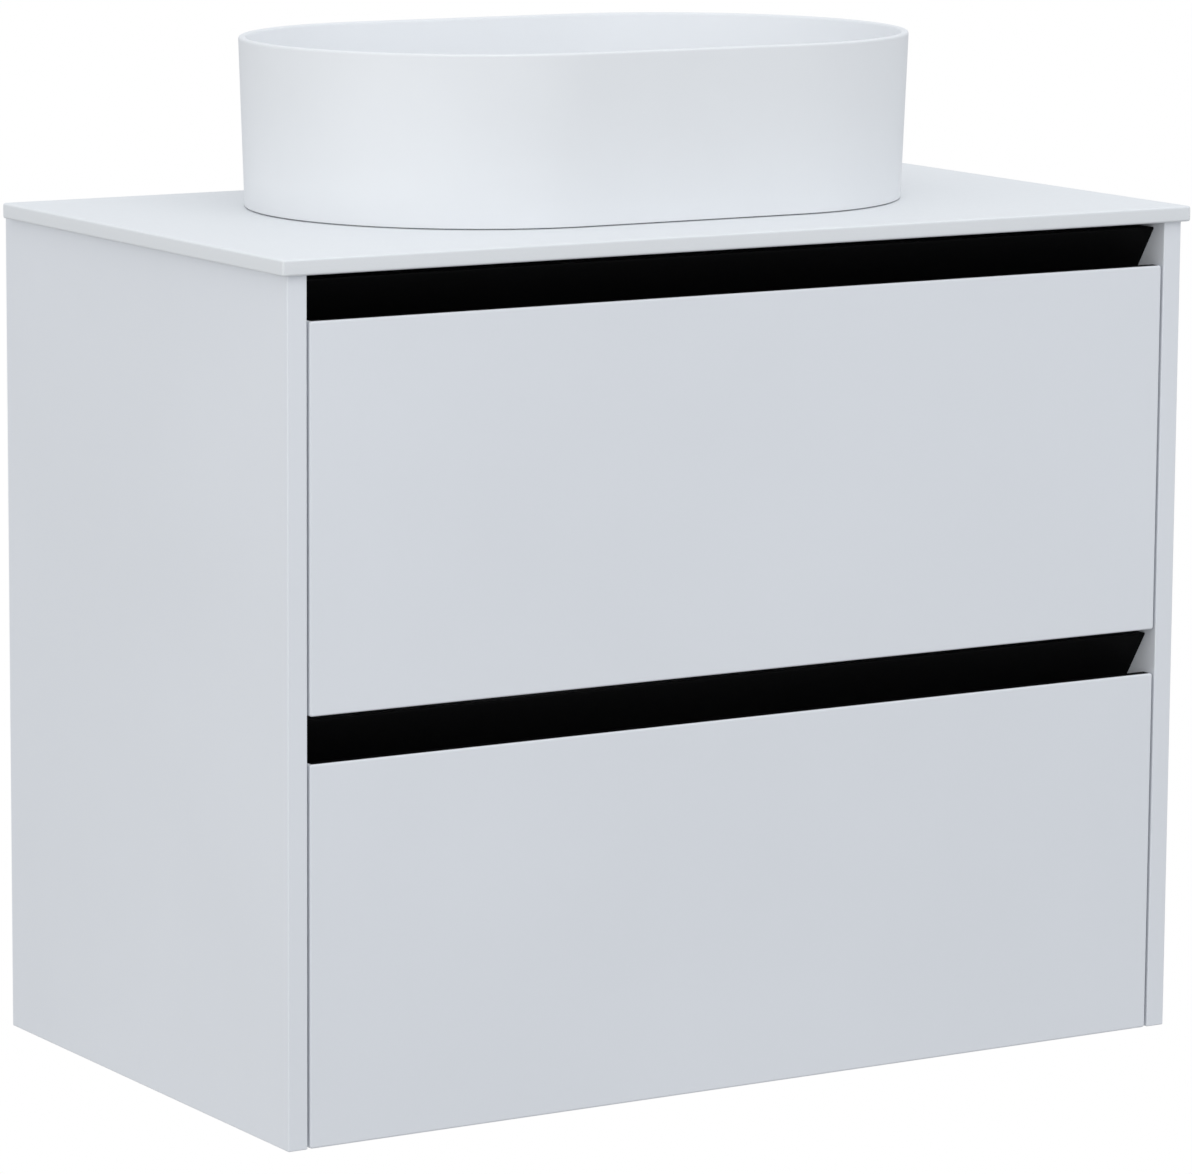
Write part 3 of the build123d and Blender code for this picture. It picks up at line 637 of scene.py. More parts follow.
def punch(bm: Mesh, axis: int, holes: Sequence[Vector], ends: Sequence[Pair], steps: int = 24) -> None:
    """Cut round holes between two flat faces of a plate.

    Args:
        bm: The plate.
        axis: The axis across the plate.
        holes: Points on the holes' axes.
        ends: The height of each face along the axis, with the holes' radius there.
        steps: How many faces go round a hole.
    """
    loops: list[list[list[Edge]]] = []
    for height, radius in ends:
        flat = on_plane(axis, height)
        faces = [face for face in bm.faces if all(flat(edge) for edge in face.edges)]
        rim = {edge for face in faces for edge in face.edges}
        bmesh.ops.delete(bm, geom=faces, context="FACES_ONLY")
        places = [hole.copy() for hole in holes]
        for place in places:
            place[axis] = height
        circles = [ring_of(bm, place, radius, steps, axis) for place in places]
        loops.append(circles)
        edges = list(rim) + [edge for circle in circles for edge in circle]
        bmesh.ops.triangle_fill(bm, use_beauty=True, edges=edges)
    for one, two in zip(*loops):
        bmesh.ops.bridge_loops(bm, edges=one + two)


def meshed(bm: Mesh, name: str) -> bpy.types.Mesh:
    """Turn a bmesh into mesh data and free it."""
    mesh = bpy.data.meshes.new(name)
    bm.to_mesh(mesh)
    bm.free()
    return mesh


def placed(name: str, data: bpy.types.ID) -> bpy.types.Object:
    """A new object in the scene that shows the data."""
    made = bpy.data.objects.new(name, data)
    bpy.context.scene.collection.objects.link(made)
    return made


def join(bm: Mesh, other: Mesh) -> None:
    """Add a second mesh to a first and free the second."""
    mesh = meshed(other, "joined")
    bm.from_mesh(mesh)
    bpy.data.meshes.remove(mesh)


def quarter(centre: Pair, radii: Pair, start: float, steps: int = 5) -> list[Pair]:
    """A quarter of an ellipse, anticlockwise, for a turned outline.

    Args:
        centre: Its centre as (radius, height).
        radii: Its half width and half height.
        start: Where it starts, in radians from the outward direction.
        steps: How many stretches it is made of.

    Returns:
        Its points.
    """
    turns = [start + pi / 2 * k / steps for k in range(steps + 1)]
    return [(centre[0] + radii[0] * cos(turn), centre[1] + radii[1] * sin(turn)) for turn in turns]


def spun(profile: Sequence[Pair], centre: Vector, steps: int = 96) -> Mesh:
    """A solid turned about an upright axis.

    Args:
        profile: A closed outline as (radius, height) points; points on the axis have radius 0.
        centre: A point on the axis; heights are measured from it.
        steps: How many steps make the full turn.

    Returns:
        A new bmesh.
    """
    bm = bmesh.new()
    ring = [bm.verts.new(centre + Vector((radius, 0, height))) for radius, height in profile]
    pairs = zip(ring, ring[1:] + ring[:1])
    off_axis = [pair for pair in pairs if any((vert.co - centre).xy.length > TOUCH for vert in pair)]
    edges = [bm.edges.new(pair) for pair in off_axis]
    turn = {"axis": (0, 0, 1), "angle": 2 * pi, "steps": steps, "use_merge": True}
    bmesh.ops.spin(bm, geom=ring + edges, cent=centre, **turn)
    bmesh.ops.remove_doubles(bm, verts=bm.verts, dist=TOUCH)
    return bm


@dataclass
class Dresser:
    """Turns finished meshes into pieces: material, slot, body and replaced nodes."""

    palette: Palette
    made: int = 0

    def piece(
        self,
        bm: Mesh,
        name: str,
        finish: Finish,
        body: str,
        replaces: Sequence[str] = (),
        sharp: float = 35.0,
        weighted: bool = True,
    ) -> bpy.types.Object:
        """Make an object from a bmesh and tie it to the frame.

        Args:
            bm: The mesh, in the frame's own coordinates.
            name: The piece's name.
            finish: Its finish.
            body: The body it rides on.
            replaces: The nodes it stands for.
            sharp: Edges turning by more than this many degrees stay sharp.
            weighted: Whether large flat faces lead the shading.

        Returns:
            The new object.
        """
        bmesh.ops.remove_doubles(bm, verts=bm.verts, dist=TOUCH / 10)
        bmesh.ops.recalc_face_normals(bm, faces=bm.faces)
        mesh = meshed(bm, name)
        mesh.shade_smooth()
        mesh.set_sharp_from_angle(angle=radians(sharp))
        piece = placed(name, mesh)
        mesh.materials.append(finish.material())
        if weighted:
            piece.modifiers.new("flat faces lead", "WEIGHTED_NORMAL").keep_sharp = True
        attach(piece, body)
        if replaces:
            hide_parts(*replaces)
        self.made += 1
        log.info("%-34s %6d faces on %s", name, len(mesh.polygons), body)
        return piece

    def paint(self, node: bpy.types.Object, finish: Finish) -> None:
        """Give a node of the frame its finish, leaving its mesh alone.

        Args:
            node: The node's object.
            finish: The finish.
        """
        if not node.material_slots:
            node.data.materials.append(None)
        for slot in node.material_slots:
            slot.material = finish.material()
        log.info("%-34s keeps its mesh", node.name)


# Cabinet


@dataclass
class Carcass:
    """The side panels, with eased front and lower edges; the boards between them keep the frame's mesh."""

    dresser: Dresser
    edge_radius: float = 1.0 * MM
    body: str = "cabinet"
    facing_wall: float = 0.9

    def build(self) -> None:
        """Build both side panels."""
        for side in Side:
            self.side_panel(side)

    def side_panel(self, side: Side) -> None:
        """Build one side panel: lacquered faces, raw chipboard on the edge that faces the wall.

        Args:
            side: Which end of the cabinet.
        """
        name = f"side_panel_{side.value}"
        low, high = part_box(name)
        bm = solid_box(low, high)
        front = every(along(Grain.Z), on_plane(1, low.y))
        bottom = every(along(Grain.Y), on_plane(2, low.z))
        foot = every(along(Grain.X), on_plane(1, low.y), on_plane(2, low.z))
        round_edges(bm, lambda edge: front(edge) or bottom(edge) or foot(edge), self.edge_radius)
        panel = self.dresser.piece(bm, name + "_lacquered", self.dresser.palette.lacquer, self.body, [name])
        panel.data.materials.append(self.dresser.palette.chipboard.material())
        for face in panel.data.polygons:
            if face.normal.y > self.facing_wall:
                face.material_index = 1


@dataclass
class Countertop:
    """The thin slab: rounded upright corners, eased rims and the hole for the waste."""

    dresser: Dresser
    corner_radius: float = 2.0 * MM
    edge_radius: float = 1.8 * MM
    hole_radius: float = 25.0 * MM
    hole_steps: int = 64
    body: str = "cabinet"

    def build(self, axis: Vector) -> None:
        """Build the slab.

        Args:
            axis: A point on the waste's upright axis.
        """
        low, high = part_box("countertop")
        bm = solid_box(low, high)
        round_edges(bm, along(Grain.Z), self.corner_radius, 4)
        foot, top = on_plane(2, low.z), on_plane(2, high.z)
        round_edges(bm, lambda edge: foot(edge) or top(edge), self.edge_radius)
        punch(bm, 2, [axis], [(low.z, self.hole_radius), (high.z, self.hole_radius)], self.hole_steps)
        self.dresser.piece(bm, "countertop_slab", self.dresser.palette.slab, self.body, ["countertop"])


@dataclass
class FingerChannel:
    """One folded black channel: top flange, sloping web and upright leg, with rolled bends."""

    dresser: Dresser
    level: Level
    wall: float = 2.0 * MM
    nose: float = 1.5 * MM
    flange: float = 20.0 * MM
    slope: float = radians(32.5)
    bend_radius: float = 0.9 * MM
    nose_edge: float = 0.35 * MM
    bends: tuple[int, ...] = (3, 4, 7)
    nose_corners: tuple[int, ...] = (0, 8)
    body: str = "cabinet"

    def profile(self, low: Vector, high: Vector) -> list[Pair]:
        """The channel's section as (y, z) corners.

        Args:
            low: The channel's lowest corner.
            high: Its highest corner.

        Returns:
            The corners in order round the section.
        """
        front, top, back, foot = low.y, high.z, high.y, low.z
        leg = back - self.wall
        web_y = front + self.wall * cos(self.slope)
        web_z = top - self.nose + self.wall * sin(self.slope)
        inside = web_y + (web_z - top + self.wall) * tan(self.slope)
        return [
            (front, top),
            (front + self.flange, top),
            (front + self.flange, top - self.wall),
            (inside, top - self.wall),
            (back, web_z - (back - web_y) / tan(self.slope)),
            (back, foot),
            (leg, foot),
            (leg, top - self.nose - (leg - front) / tan(self.slope)),
            (front, top - self.nose),
        ]

    def build(self) -> None:
        """Fold the channel between the side panels."""
        node = f"finger_channel_{self.level.value}"
        low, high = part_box(node)
        corners = [Vector((low.x, y, z)) for y, z in self.profile(low, high)]
        bm = prism(corners, Vector((high.x - low.x, 0, 0)))
        roundings = ((self.bends, self.bend_radius, 3), (self.nose_corners, self.nose_edge, 2))
        for chosen, radius, steps in roundings:
            near = [corners[k].yz for k in chosen]
            at_corner = lambda edge: any((edge.verts[0].co.yz - spot).length < TOUCH for spot in near)
            round_edges(bm, every(along(Grain.X), at_corner), radius, steps)
        self.dresser.piece(bm, node + "_folded", self.dresser.palette.coat, self.body, [node])


# Drawers


@dataclass
class Drawer:
    """A drawer: lacquered front with a back-beveled grip edge and a black strip of painted shade on its top
    edge, and a box of thin linen-faced boards.
    """

    dresser: Dresser
    level: Level
    grip_flat: float = 9.0 * MM
    corner_radius: float = 2.0 * MM
    edge_radius: float = 1.5 * MM
    # Size of the black strip of painted shade on the front's top edge.
    band_margin: float = 2.2 * MM
    band_sunk: float = 0.5 * MM
    band_proud: float = 0.15 * MM
    board_edge: float = 0.5 * MM

    @property
    def body(self) -> str:
        """The body that the drawer's pieces ride on."""
        return f"{self.level.value}_drawer"

    def build(self) -> None:
        """Build the front and the box."""
        self.front()
        for board in ("box_side_left", "box_side_right", "box_front"):
            self.board(board)
        if self.level is Level.UPPER:
            self.notched_floor()
            self.board_pair("box_back")
            self.board_pair("cutout_sides")
            self.board("cutout_front")
        else:
            self.board("box_back")
            self.board("box_floor")

    def named(self, part: str) -> str:
        """The name of the node that this drawer has for a part."""
        return f"{self.level.value}_{part}"

    def front(self) -> None:
        """Build the front: rounded face edges, and its top edge cut back behind a flat strip."""
        name = self.named("drawer_front")
        low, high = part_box(name)
        bm = solid_box(low, high)
        cut = (high.y - low.y) - self.grip_flat
        round_edges(bm, every(on_plane(1, high.y), on_plane(2, high.z)), cut, 1)
        round_edges(bm, along(Grain.Y), self.corner_radius)
        round_edges(bm, on_plane(1, low.y), self.edge_radius, 4)
        self.dresser.piece(bm, name + "_lacquered", self.dresser.palette.lacquer, self.body, [name])
        self.edge_band(low, high)

    def edge_band(self, low: Vector, high: Vector) -> None:
        """Lay a thin black strip on the flat of the front's top edge: painted shade for the dark gap under
        the channel, not a real edge band.

        Args:
            low: The front's lowest corner.
            high: Its highest corner.
        """
        start = Vector((low.x + self.band_margin, low.y + self.edge_radius, high.z - self.band_sunk))
        end = Vector((high.x - self.band_margin, low.y + self.grip_flat, high.z + self.band_proud))
        bm = solid_box(start, end)
        round_edges(bm, along(Grain.Z), self.band_sunk, 3)
        # The black strip is painted shade on the front's top edge, in the gap under the channel.
        self.dresser.piece(bm, self.named("drawer_front_edge_band"), self.dresser.palette.coat, self.body)

    def dressed_board(self, bm: Mesh, part: str) -> None:
        """Ease a board's long edges and make it a piece.

        Args:
            bm: The board's mesh.
            part: The part that it is.
        """
        name = self.named(part)
        round_edges(bm, creased(), self.board_edge, 2)
        self.dresser.piece(bm, name + "_linen", self.dresser.palette.linen, self.body, [name])

    def board(self, part: str) -> None:
        """Build one plain board from its node's box."""
        self.dressed_board(solid_box(*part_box(self.named(part))), part)

    def board_pair(self, part: str) -> None:
        """Build two mirrored boards that share a node and stand either side of the trap's cut-out.

        Args:
            part: The part that they are.
        """
        low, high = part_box(self.named(part))
        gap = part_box(self.named("cutout_front"))[1].x
        bm = solid_box(Vector((gap, low.y, low.z)), high)
        bmesh.ops.mirror(bm, geom=bm.verts[:] + bm.edges[:] + bm.faces[:], axis="X", merge_dist=-1.0)
        self.dressed_board(bm, part)

    def notched_floor(self) -> None:
        """Build the floor with the notch that lets the drawer pass the trap."""
        low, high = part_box(self.named("box_floor"))
        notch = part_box(self.named("cutout_front"))[1]
        corners = [(low.x, low.y), (high.x, low.y), (high.x, high.y), (notch.x, high.y), (notch.x, notch.y)]
        corners += [(-notch.x, notch.y), (-notch.x, high.y), (low.x, high.y)]
        bm = prism([Vector((x, y, low.z)) for x, y in corners], Vector((0, 0, high.z - low.z)))
        self.dressed_board(bm, "box_floor")


# Basin and waste


@dataclass
class Basin:
    """A stadium bowl: thin drafted wall, rounded rim, wide inner radius, floor falling to the waste."""

    dresser: Dresser
    base_inset: float = 4.5 * MM
    wall: float = 6.0 * MM
    inner_draft: float = 8.0 * MM
    floor: float = 16.0 * MM
    fall: float = 4.0 * MM
    cove: float = 28.0 * MM
    cove_radius: float = 30.0 * MM
    rim_radius: float = 2.0 * MM
    foot_radius: float = 1.5 * MM
    recess_radius: float = 33.0 * MM
    recess_depth: float = 4.0 * MM
    lead_in: Pair = (9.0 * MM, 0.5 * MM)
    waste_radius: float = 23.0 * MM
    crease: float = radians(20)
    arc_steps: int = 56
    straight_steps: int = 10
    body: str = "cabinet"

    def build(self) -> Vector:
        """Build the bowl.

        Returns:
            A point on the waste's axis, at the bottom of the flange recess.
        """
        low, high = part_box("basin")
        outer = (high.y - low.y) / 2
        centre = Vector(((low.x + high.x) / 2, (low.y + high.y) / 2, low.z))
        half_straight = (high.x - low.x) / 2 - outer
        rim_z = high.z - low.z
        inner = outer - self.wall
        profile = [
            (outer - self.base_inset, 0.0),
            (outer, rim_z),
            (inner, rim_z),
            (inner - self.inner_draft, self.floor),
            (inner - self.inner_draft - self.cove_radius, self.floor),
        ]
        bm = self.swept(profile, centre, half_straight)
        self.round_rings(bm, low.z + rim_z, self.rim_radius, 4)
        self.round_rings(bm, low.z, self.foot_radius, 3)
        self.round_rings(bm, low.z + self.floor, self.cove, 12)
        self.drain(bm, centre)
        self.dresser.piece(bm, "basin_bowl", self.dresser.palette.glaze, self.body, ["basin"], 50.0, False)
        return centre + Vector((0, 0, self.floor - self.fall - self.recess_depth))

    def swept(self, profile: Sequence[Pair], centre: Vector, half: float) -> Mesh:
        """Sweep the wall's section round the stadium.

        Args:
            profile: The section as (distance from the end's centre, height) points, not closed.
            centre: The basin's middle at its foot.
            half: Half of the straight stretch.

        Returns:
            The swept wall, open inside the floor and under the foot.
        """
        bm = bmesh.new()
        right = centre + Vector((half, 0, 0))
        verts = [bm.verts.new(right + Vector((0, -reach, height))) for reach, height in profile]
        front: list = verts + [bm.edges.new(pair) for pair in zip(verts, verts[1:])]
        turn = {"axis": (0, 0, 1), "angle": pi, "steps": self.arc_steps, "use_merge": False}
        for end, travel in ((half, -1), (-half, 1)):
            middle = centre + Vector((end, 0, 0))
            front = bmesh.ops.spin(bm, geom=front, cent=middle, **turn)["geom_last"]
            step = Vector((travel * 2 * half / self.straight_steps, 0, 0))
            for _ in range(self.straight_steps):
                grown = bmesh.ops.extrude_edge_only(bm, edges=picked(front, Edge))["geom"]
                moved = picked(grown, bmesh.types.BMVert)
                bmesh.ops.translate(bm, vec=step, verts=moved)
                front = moved + [edge for edge in picked(grown, Edge) if all(v in moved for v in edge.verts)]
        bmesh.ops.remove_doubles(bm, verts=bm.verts, dist=TOUCH)
        bmesh.ops.recalc_face_normals(bm, faces=bm.faces)
        return bm

    def round_rings(self, bm: Mesh, z: float, radius: float, steps: int) -> None:
        """Round the creased rings of edges at a height, but not an open border.

        Args:
            bm: The bowl.
            z: The height of the rings.
            radius: The bevel's size.
            steps: How many faces it is made of.
        """
        round_edges(bm, every(on_plane(2, z), creased(self.crease)), radius, steps)

    def drain(self, bm: Mesh, centre: Vector) -> None:
        """Close the floor and the underside with rings down to the waste's hole.

        Args:
            bm: The bowl, open inside the floor and under the foot.
            centre: The basin's middle at its foot.
        """
        border = [edge for edge in bm.edges if edge.is_boundary]
        inside = [edge for edge in border if edge.verts[0].co.z > centre.z + self.floor / 2]
        under = [edge for edge in border if edge not in inside]
        fall = self.floor - self.fall
        rings = (
            (self.recess_radius + self.lead_in[0], fall + self.lead_in[1]),
            (self.recess_radius, fall),
            (self.recess_radius, fall - self.recess_depth),
            (self.waste_radius, fall - self.recess_depth),
            (self.waste_radius, 0.0),
        )
        last = inside
        for radius, height in rings:
            circle = ring_of(bm, centre + Vector((0, 0, height)), radius, len(inside))
            bmesh.ops.bridge_loops(bm, edges=last + circle)
            last = circle
        bmesh.ops.bridge_loops(bm, edges=last + under)


@dataclass
class Waste:
    """The chromed waste: flanged and threaded body, hexagonal back nut, domed push plug and its spring."""

    dresser: Dresser
    axis: Vector
    bore: float = 17.5 * MM
    tail: float = 20.95 * MM
    flange_thickness: float = 3.0 * MM
    lip: Pair = (2.5 * MM, 1.9 * MM)
    mouth: float = 3.5 * MM
    thread_pitch: float = 2.31 * MM
    thread_depth: float = 0.6 * MM
    thread_shares: tuple[float, ...] = (0.15, 0.45, 0.6, 0.9)
    relief: Pair = (52.0 * MM, 54.0 * MM)
    relief_depth: float = 0.8 * MM
    holder_drop: float = 22.0 * MM
    holder_height: float = 18.0 * MM
    holder_wall: float = 2.0 * MM
    wire: float = 0.45 * MM
    closed_pitch: float = 2.1
    spring_turns: int = 7
    spring_steps: int = 36
    wire_steps: int = 10
    travel: float = 8.0 * MM
    rib_half: float = 1.0 * MM
    plug_edge: float = 0.8 * MM
    plug_dome: float = 3.6 * MM
    plug_rim: float = 0.5 * MM
    rim_crease: float = radians(45)
    dome_steps: int = 10
    nut_steps: int = 48
    nut_face: float = 0.97

    def build(self) -> None:
        """Build the body, the back nut, the plug and the spring."""
        self.turned_body()
        self.back_nut()
        self.plug()
        self.spring()

    def at(self, height: float) -> Vector:
        """The point on the waste's axis at a height."""
        return Vector((self.axis.x, self.axis.y, height))

    def thread(self, start: float, end: float) -> list[Pair]:
        """The thread's outline between two heights.

        Args:
            start: The lower height.
            end: The upper height.

        Returns:
            Its points, upwards.
        """
        root = self.tail - self.thread_depth
        points = [(root, start)]
        reaches = (root, self.tail, self.tail, root)
        for k in range(int((end - start) / self.thread_pitch)):
            foot = start + k * self.thread_pitch
            points += [(r, foot + share * self.thread_pitch) for r, share in zip(reaches, self.thread_shares)]
        return points + [(root, end)]

    def turned_body(self) -> None:
        """Turn the flange and the threaded tail, and add the cross that holds the plug's cartridge."""
        low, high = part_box("waste_body")
        top, flange = high.z - low.z, (high.x - low.x) / 2
        seat = top - self.flange_thickness
        groove = self.tail - self.relief_depth
        outline = [(self.bore, 0.0)] + self.thread(0.0, self.relief[0])
        outline += [(groove, self.relief[0]), (groove, self.relief[1])] + self.thread(self.relief[1], seat)
        outline += [(flange, seat)]
        outline += quarter((flange - self.lip[0], top - self.lip[1]), self.lip, 0.0)
        outline += quarter((self.bore + self.mouth, top - self.mouth), (self.mouth, self.mouth), pi / 2)
        foot = self.at(low.z)
        bm = spun(outline, foot)
        cartridge_low, cartridge_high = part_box("plug_cartridge")
        inner = (cartridge_high.x - cartridge_low.x) / 2
        outer = inner + self.holder_wall
        base = cartridge_high.z - low.z - self.holder_drop
        crown = base + self.holder_height
        holder = spun([(inner, base), (outer, base), (outer, crown), (inner, crown)], foot)
        for k in range(4):
            start, end = (outer - TOUCH, -self.rib_half, base), (self.bore + TOUCH, self.rib_half, crown)
            rib = solid_box(Vector(start), Vector(end))
            turn = Matrix.Rotation(pi / 4 + k * pi / 2, 3, "Z")
            bmesh.ops.rotate(rib, verts=rib.verts, cent=(0, 0, 0), matrix=turn)
            bmesh.ops.translate(rib, vec=foot, verts=rib.verts)
            join(holder, rib)
        join(bm, holder)
        chrome = self.dresser.palette.chrome
        self.dresser.piece(bm, "waste_body_turned", chrome, "cabinet", ["waste_body"], 40)

    def back_nut(self) -> None:
        """Build the nut: six flats, corners chamfered as a cone would cut them, and a plain bore."""
        low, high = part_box("waste_back_nut")
        apothem = min(high.x - low.x, high.y - low.y) / 2
        corner, thick = apothem / cos(pi / 6), high.z - low.z
        face, bore = apothem * self.nut_face, self.tail - self.thread_depth / 2
        start = 0.0 if high.x - low.x > high.y - low.y else pi / 6
        outside = [(face, 0.0), (corner, thick / 4), (corner, thick * 3 / 4), (face, thick)]
        bm = spun([(bore, 0.0), *outside, (bore, thick)], Vector((0, 0, 0)), self.nut_steps)
        for vert in bm.verts:
            if vert.co.xy.length > face + TOUCH:
                turn = atan2(vert.co.y, vert.co.x)
                reach = apothem / cos((turn - start) % (pi / 3) - pi / 6)
                drop = (reach - face) * tan(pi / 6)
                height = drop if vert.co.z < thick / 2 else thick - drop
                vert.co = Vector((reach * cos(turn), reach * sin(turn), height))
        bmesh.ops.translate(bm, vec=self.at(low.z), verts=bm.verts)
        brass = self.dresser.palette.brass
        self.dresser.piece(bm, "waste_back_nut_milled", brass, "cabinet", ["waste_back_nut"])

    def plug(self) -> None:
        """Turn the domed plug."""
        low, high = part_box("waste_plug")
        radius, height = (high.x - low.x) / 2, high.z - low.z
        bulge = (radius**2 + self.plug_dome**2) / (2 * self.plug_dome)
        reaches = [radius * k / self.dome_steps for k in range(self.dome_steps + 1)]
        dome = [(reach, height - bulge + (bulge**2 - reach**2) ** 0.5) for reach in reaches]
        outline = dome + [(radius, self.plug_edge), (radius - self.plug_edge, 0.0), (0.0, 0.0)]
        bm = spun(outline, self.at(low.z))
        rim = every(on_plane(2, high.z - self.plug_dome), creased(self.rim_crease))
        round_edges(bm, rim, self.plug_rim)
        chrome = self.dresser.palette.chrome
        self.dresser.piece(bm, "waste_plug_polished", chrome, "waste_plug_set", ["waste_plug"], 40)

    def spring(self) -> None:
        """Wind the spring under the plug's stem at one fixed length, though the real spring shortens as the
        plug is pressed.
        """
        low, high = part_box("plug_spring")
        coil, wire, tall = (high.x - low.x) / 2 - self.wire, self.wire, high.z - low.z
        closed = self.closed_pitch * wire / (tall - 2 * wire)
        around = [2 * pi * n / self.wire_steps for n in range(self.wire_steps)]
        bm = bmesh.new()
        rings = []
        for k in range(self.spring_turns * self.spring_steps + 1):
            turns = k / self.spring_steps
            share = (turns - 1) / (self.spring_turns - 2)
            climb = max(closed * turns, closed + (1 - 2 * closed) * share)
            climb = min(climb, 1 - closed * (self.spring_turns - turns))
            outward = Vector((cos(2 * pi * turns), sin(2 * pi * turns), 0))
            middle = self.at(low.z + wire + climb * (tall - 2 * wire)) + outward * coil
            section = [outward * cos(turn) + Vector((0, 0, sin(turn))) for turn in around]
            rings.append([bm.verts.new(middle + wire * spot) for spot in section])
        for one, two in zip(rings, rings[1:]):
            for n in range(self.wire_steps):
                bm.faces.new((one[n - 1], one[n], two[n], two[n - 1]))
        bm.faces.new(rings[0])
        bm.faces.new(rings[-1][::-1])
        steel = self.dresser.palette.spring
        spring = self.dresser.piece(bm, "plug_spring_wound", steel, "cabinet", ["plug_spring"], 60, False)
        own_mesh(spring)


# Runners


class Member(Enum):
    """The three channels of a ball-bearing runner, with the body each rides on."""

    CABINET = "cabinet"
    MIDDLE = "runner_middles"
    DRAWER = "drawer"

    def body(self, level: Level) -> str:
        """The name of the body that this channel moves with."""
        return self.value if self is Member.CABINET else f"{level.value}_{self.value}"


@dataclass
class Runner:
    """One ball-bearing runner: rolled channels whose lips hold the balls, pierced for their screws."""

    dresser: Dresser
    level: Level
    side: Side
    wall: float = 1.2 * MM
    lip_width: float = 1.1 * MM
    lip_rise: float = 0.7 * MM
    outer_bend: float = 1.5 * MM
    inner_bend: float = 0.5 * MM
    tip: float = 0.3 * MM
    screw_shares: tuple[float, ...] = (0.08, 0.5, 0.92)
    head_radius: float = 3.5 * MM
    shank_radius: float = 2.0 * MM

    def build(self) -> None:
        """Build the three channels."""
        for member in Member:
            self.channel(member)

    def section(self, web: float, tip: float, low: float, high: float, lipped: bool) -> list[Pair]:
        """A channel's section as (x, z) corners.

        Args:
            web: The outer face of the web.
            tip: Where the flanges end.
            low: The channel's lowest height.
            high: Its highest height.
            lipped: Whether the flanges end in lips turned towards each other.

        Returns:
            The corners in order round the section.
        """
        way = 1.0 if tip > web else -1.0
        inside = web + way * self.wall
        lip = tip - way * self.lip_width
        rise = self.lip_rise if lipped else 0.0
        lower = [(web, low), (tip, low), (tip, low + self.wall + rise)]
        upper = [(tip, high - self.wall - rise), (tip, high), (web, high)]
        if lipped:
            lower += [(lip, low + self.wall + rise), (lip, low + self.wall)]
            upper = [(lip, high - self.wall), (lip, high - self.wall - rise)] + upper
        return lower + [(inside, low + self.wall), (inside, high - self.wall)] + upper

    def channel(self, member: Member) -> None:
        """Roll one channel from its node's box and pierce its web.

        Args:
            member: Which of the three channels.
        """
        node = f"{self.level.value}_runner_{member.name.lower()}_member_{self.side.value}"
        low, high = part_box(node)
        panel_side, box_side = (high.x, low.x) if self.side is Side.RIGHT else (low.x, high.x)
        web, tip = (box_side, panel_side) if member is Member.DRAWER else (panel_side, box_side)
        way = 1.0 if tip > web else -1.0
        length, middle = high.y - low.y, (low.z + high.z) / 2
        corners = self.section(web, tip, low.z, high.z, member is not Member.DRAWER)
        bm = prism([Vector((x, low.y, z)) for x, z in corners], Vector((0, length, 0)))
        if member is not Member.MIDDLE:
            holes = [Vector((web, low.y + share * length, middle)) for share in self.screw_shares]
            sink = self.head_radius if member is Member.CABINET else self.shank_radius
            punch(bm, 0, holes, [(web, self.shank_radius), (web + way * self.wall, sink)])
        planes = {web: (self.outer_bend, 4), web + way * self.wall: (self.inner_bend, 2), tip: (self.tip, 2)}
        for x, (radius, steps) in planes.items():
            round_edges(bm, every(along(Grain.Y), on_plane(0, x), creased()), radius, steps)
        self.dresser.piece(bm, node + "_rolled", self.dresser.palette.zinc, member.body(self.level), [node])


# Fittings that keep the frame's mesh


@dataclass
class Fittings:
    """Inner boards, brackets, screws, cams, dowels, ball cages, seals and the plug's inner pieces."""

    dresser: Dresser

    def build(self, frame: dict) -> None:
        """Dress every node by its slot; the pieces made later hide the nodes that they replace.
        """
        finishes = self.dresser.palette.by_slot()
        slots = {part["node"]: part["material_slot"] for part in frame["record"]["subparts"]}
        for name, node in frame["nodes"].items():
            self.dresser.paint(node, finishes[slots[name]])


# Studio


@dataclass(frozen=True)
class SoftBox:
    """A large soft light aimed at a point."""

    name: str
    at: Triple
    aim: Triple
    size: Pair
    power: float
    colour: Triple

    def build(self) -> None:
        """Hang the light."""
        data = bpy.data.lights.new(self.name, "AREA")
        data.shape = "RECTANGLE"
        data.size, data.size_y = self.size
        data.energy = self.power
        data.color = self.colour
        lamp = placed(self.name, data)
        lamp.location = self.at
        lamp.rotation_euler = (Vector(self.aim) - Vector(self.at)).to_track_quat("-Z", "Y").to_euler()


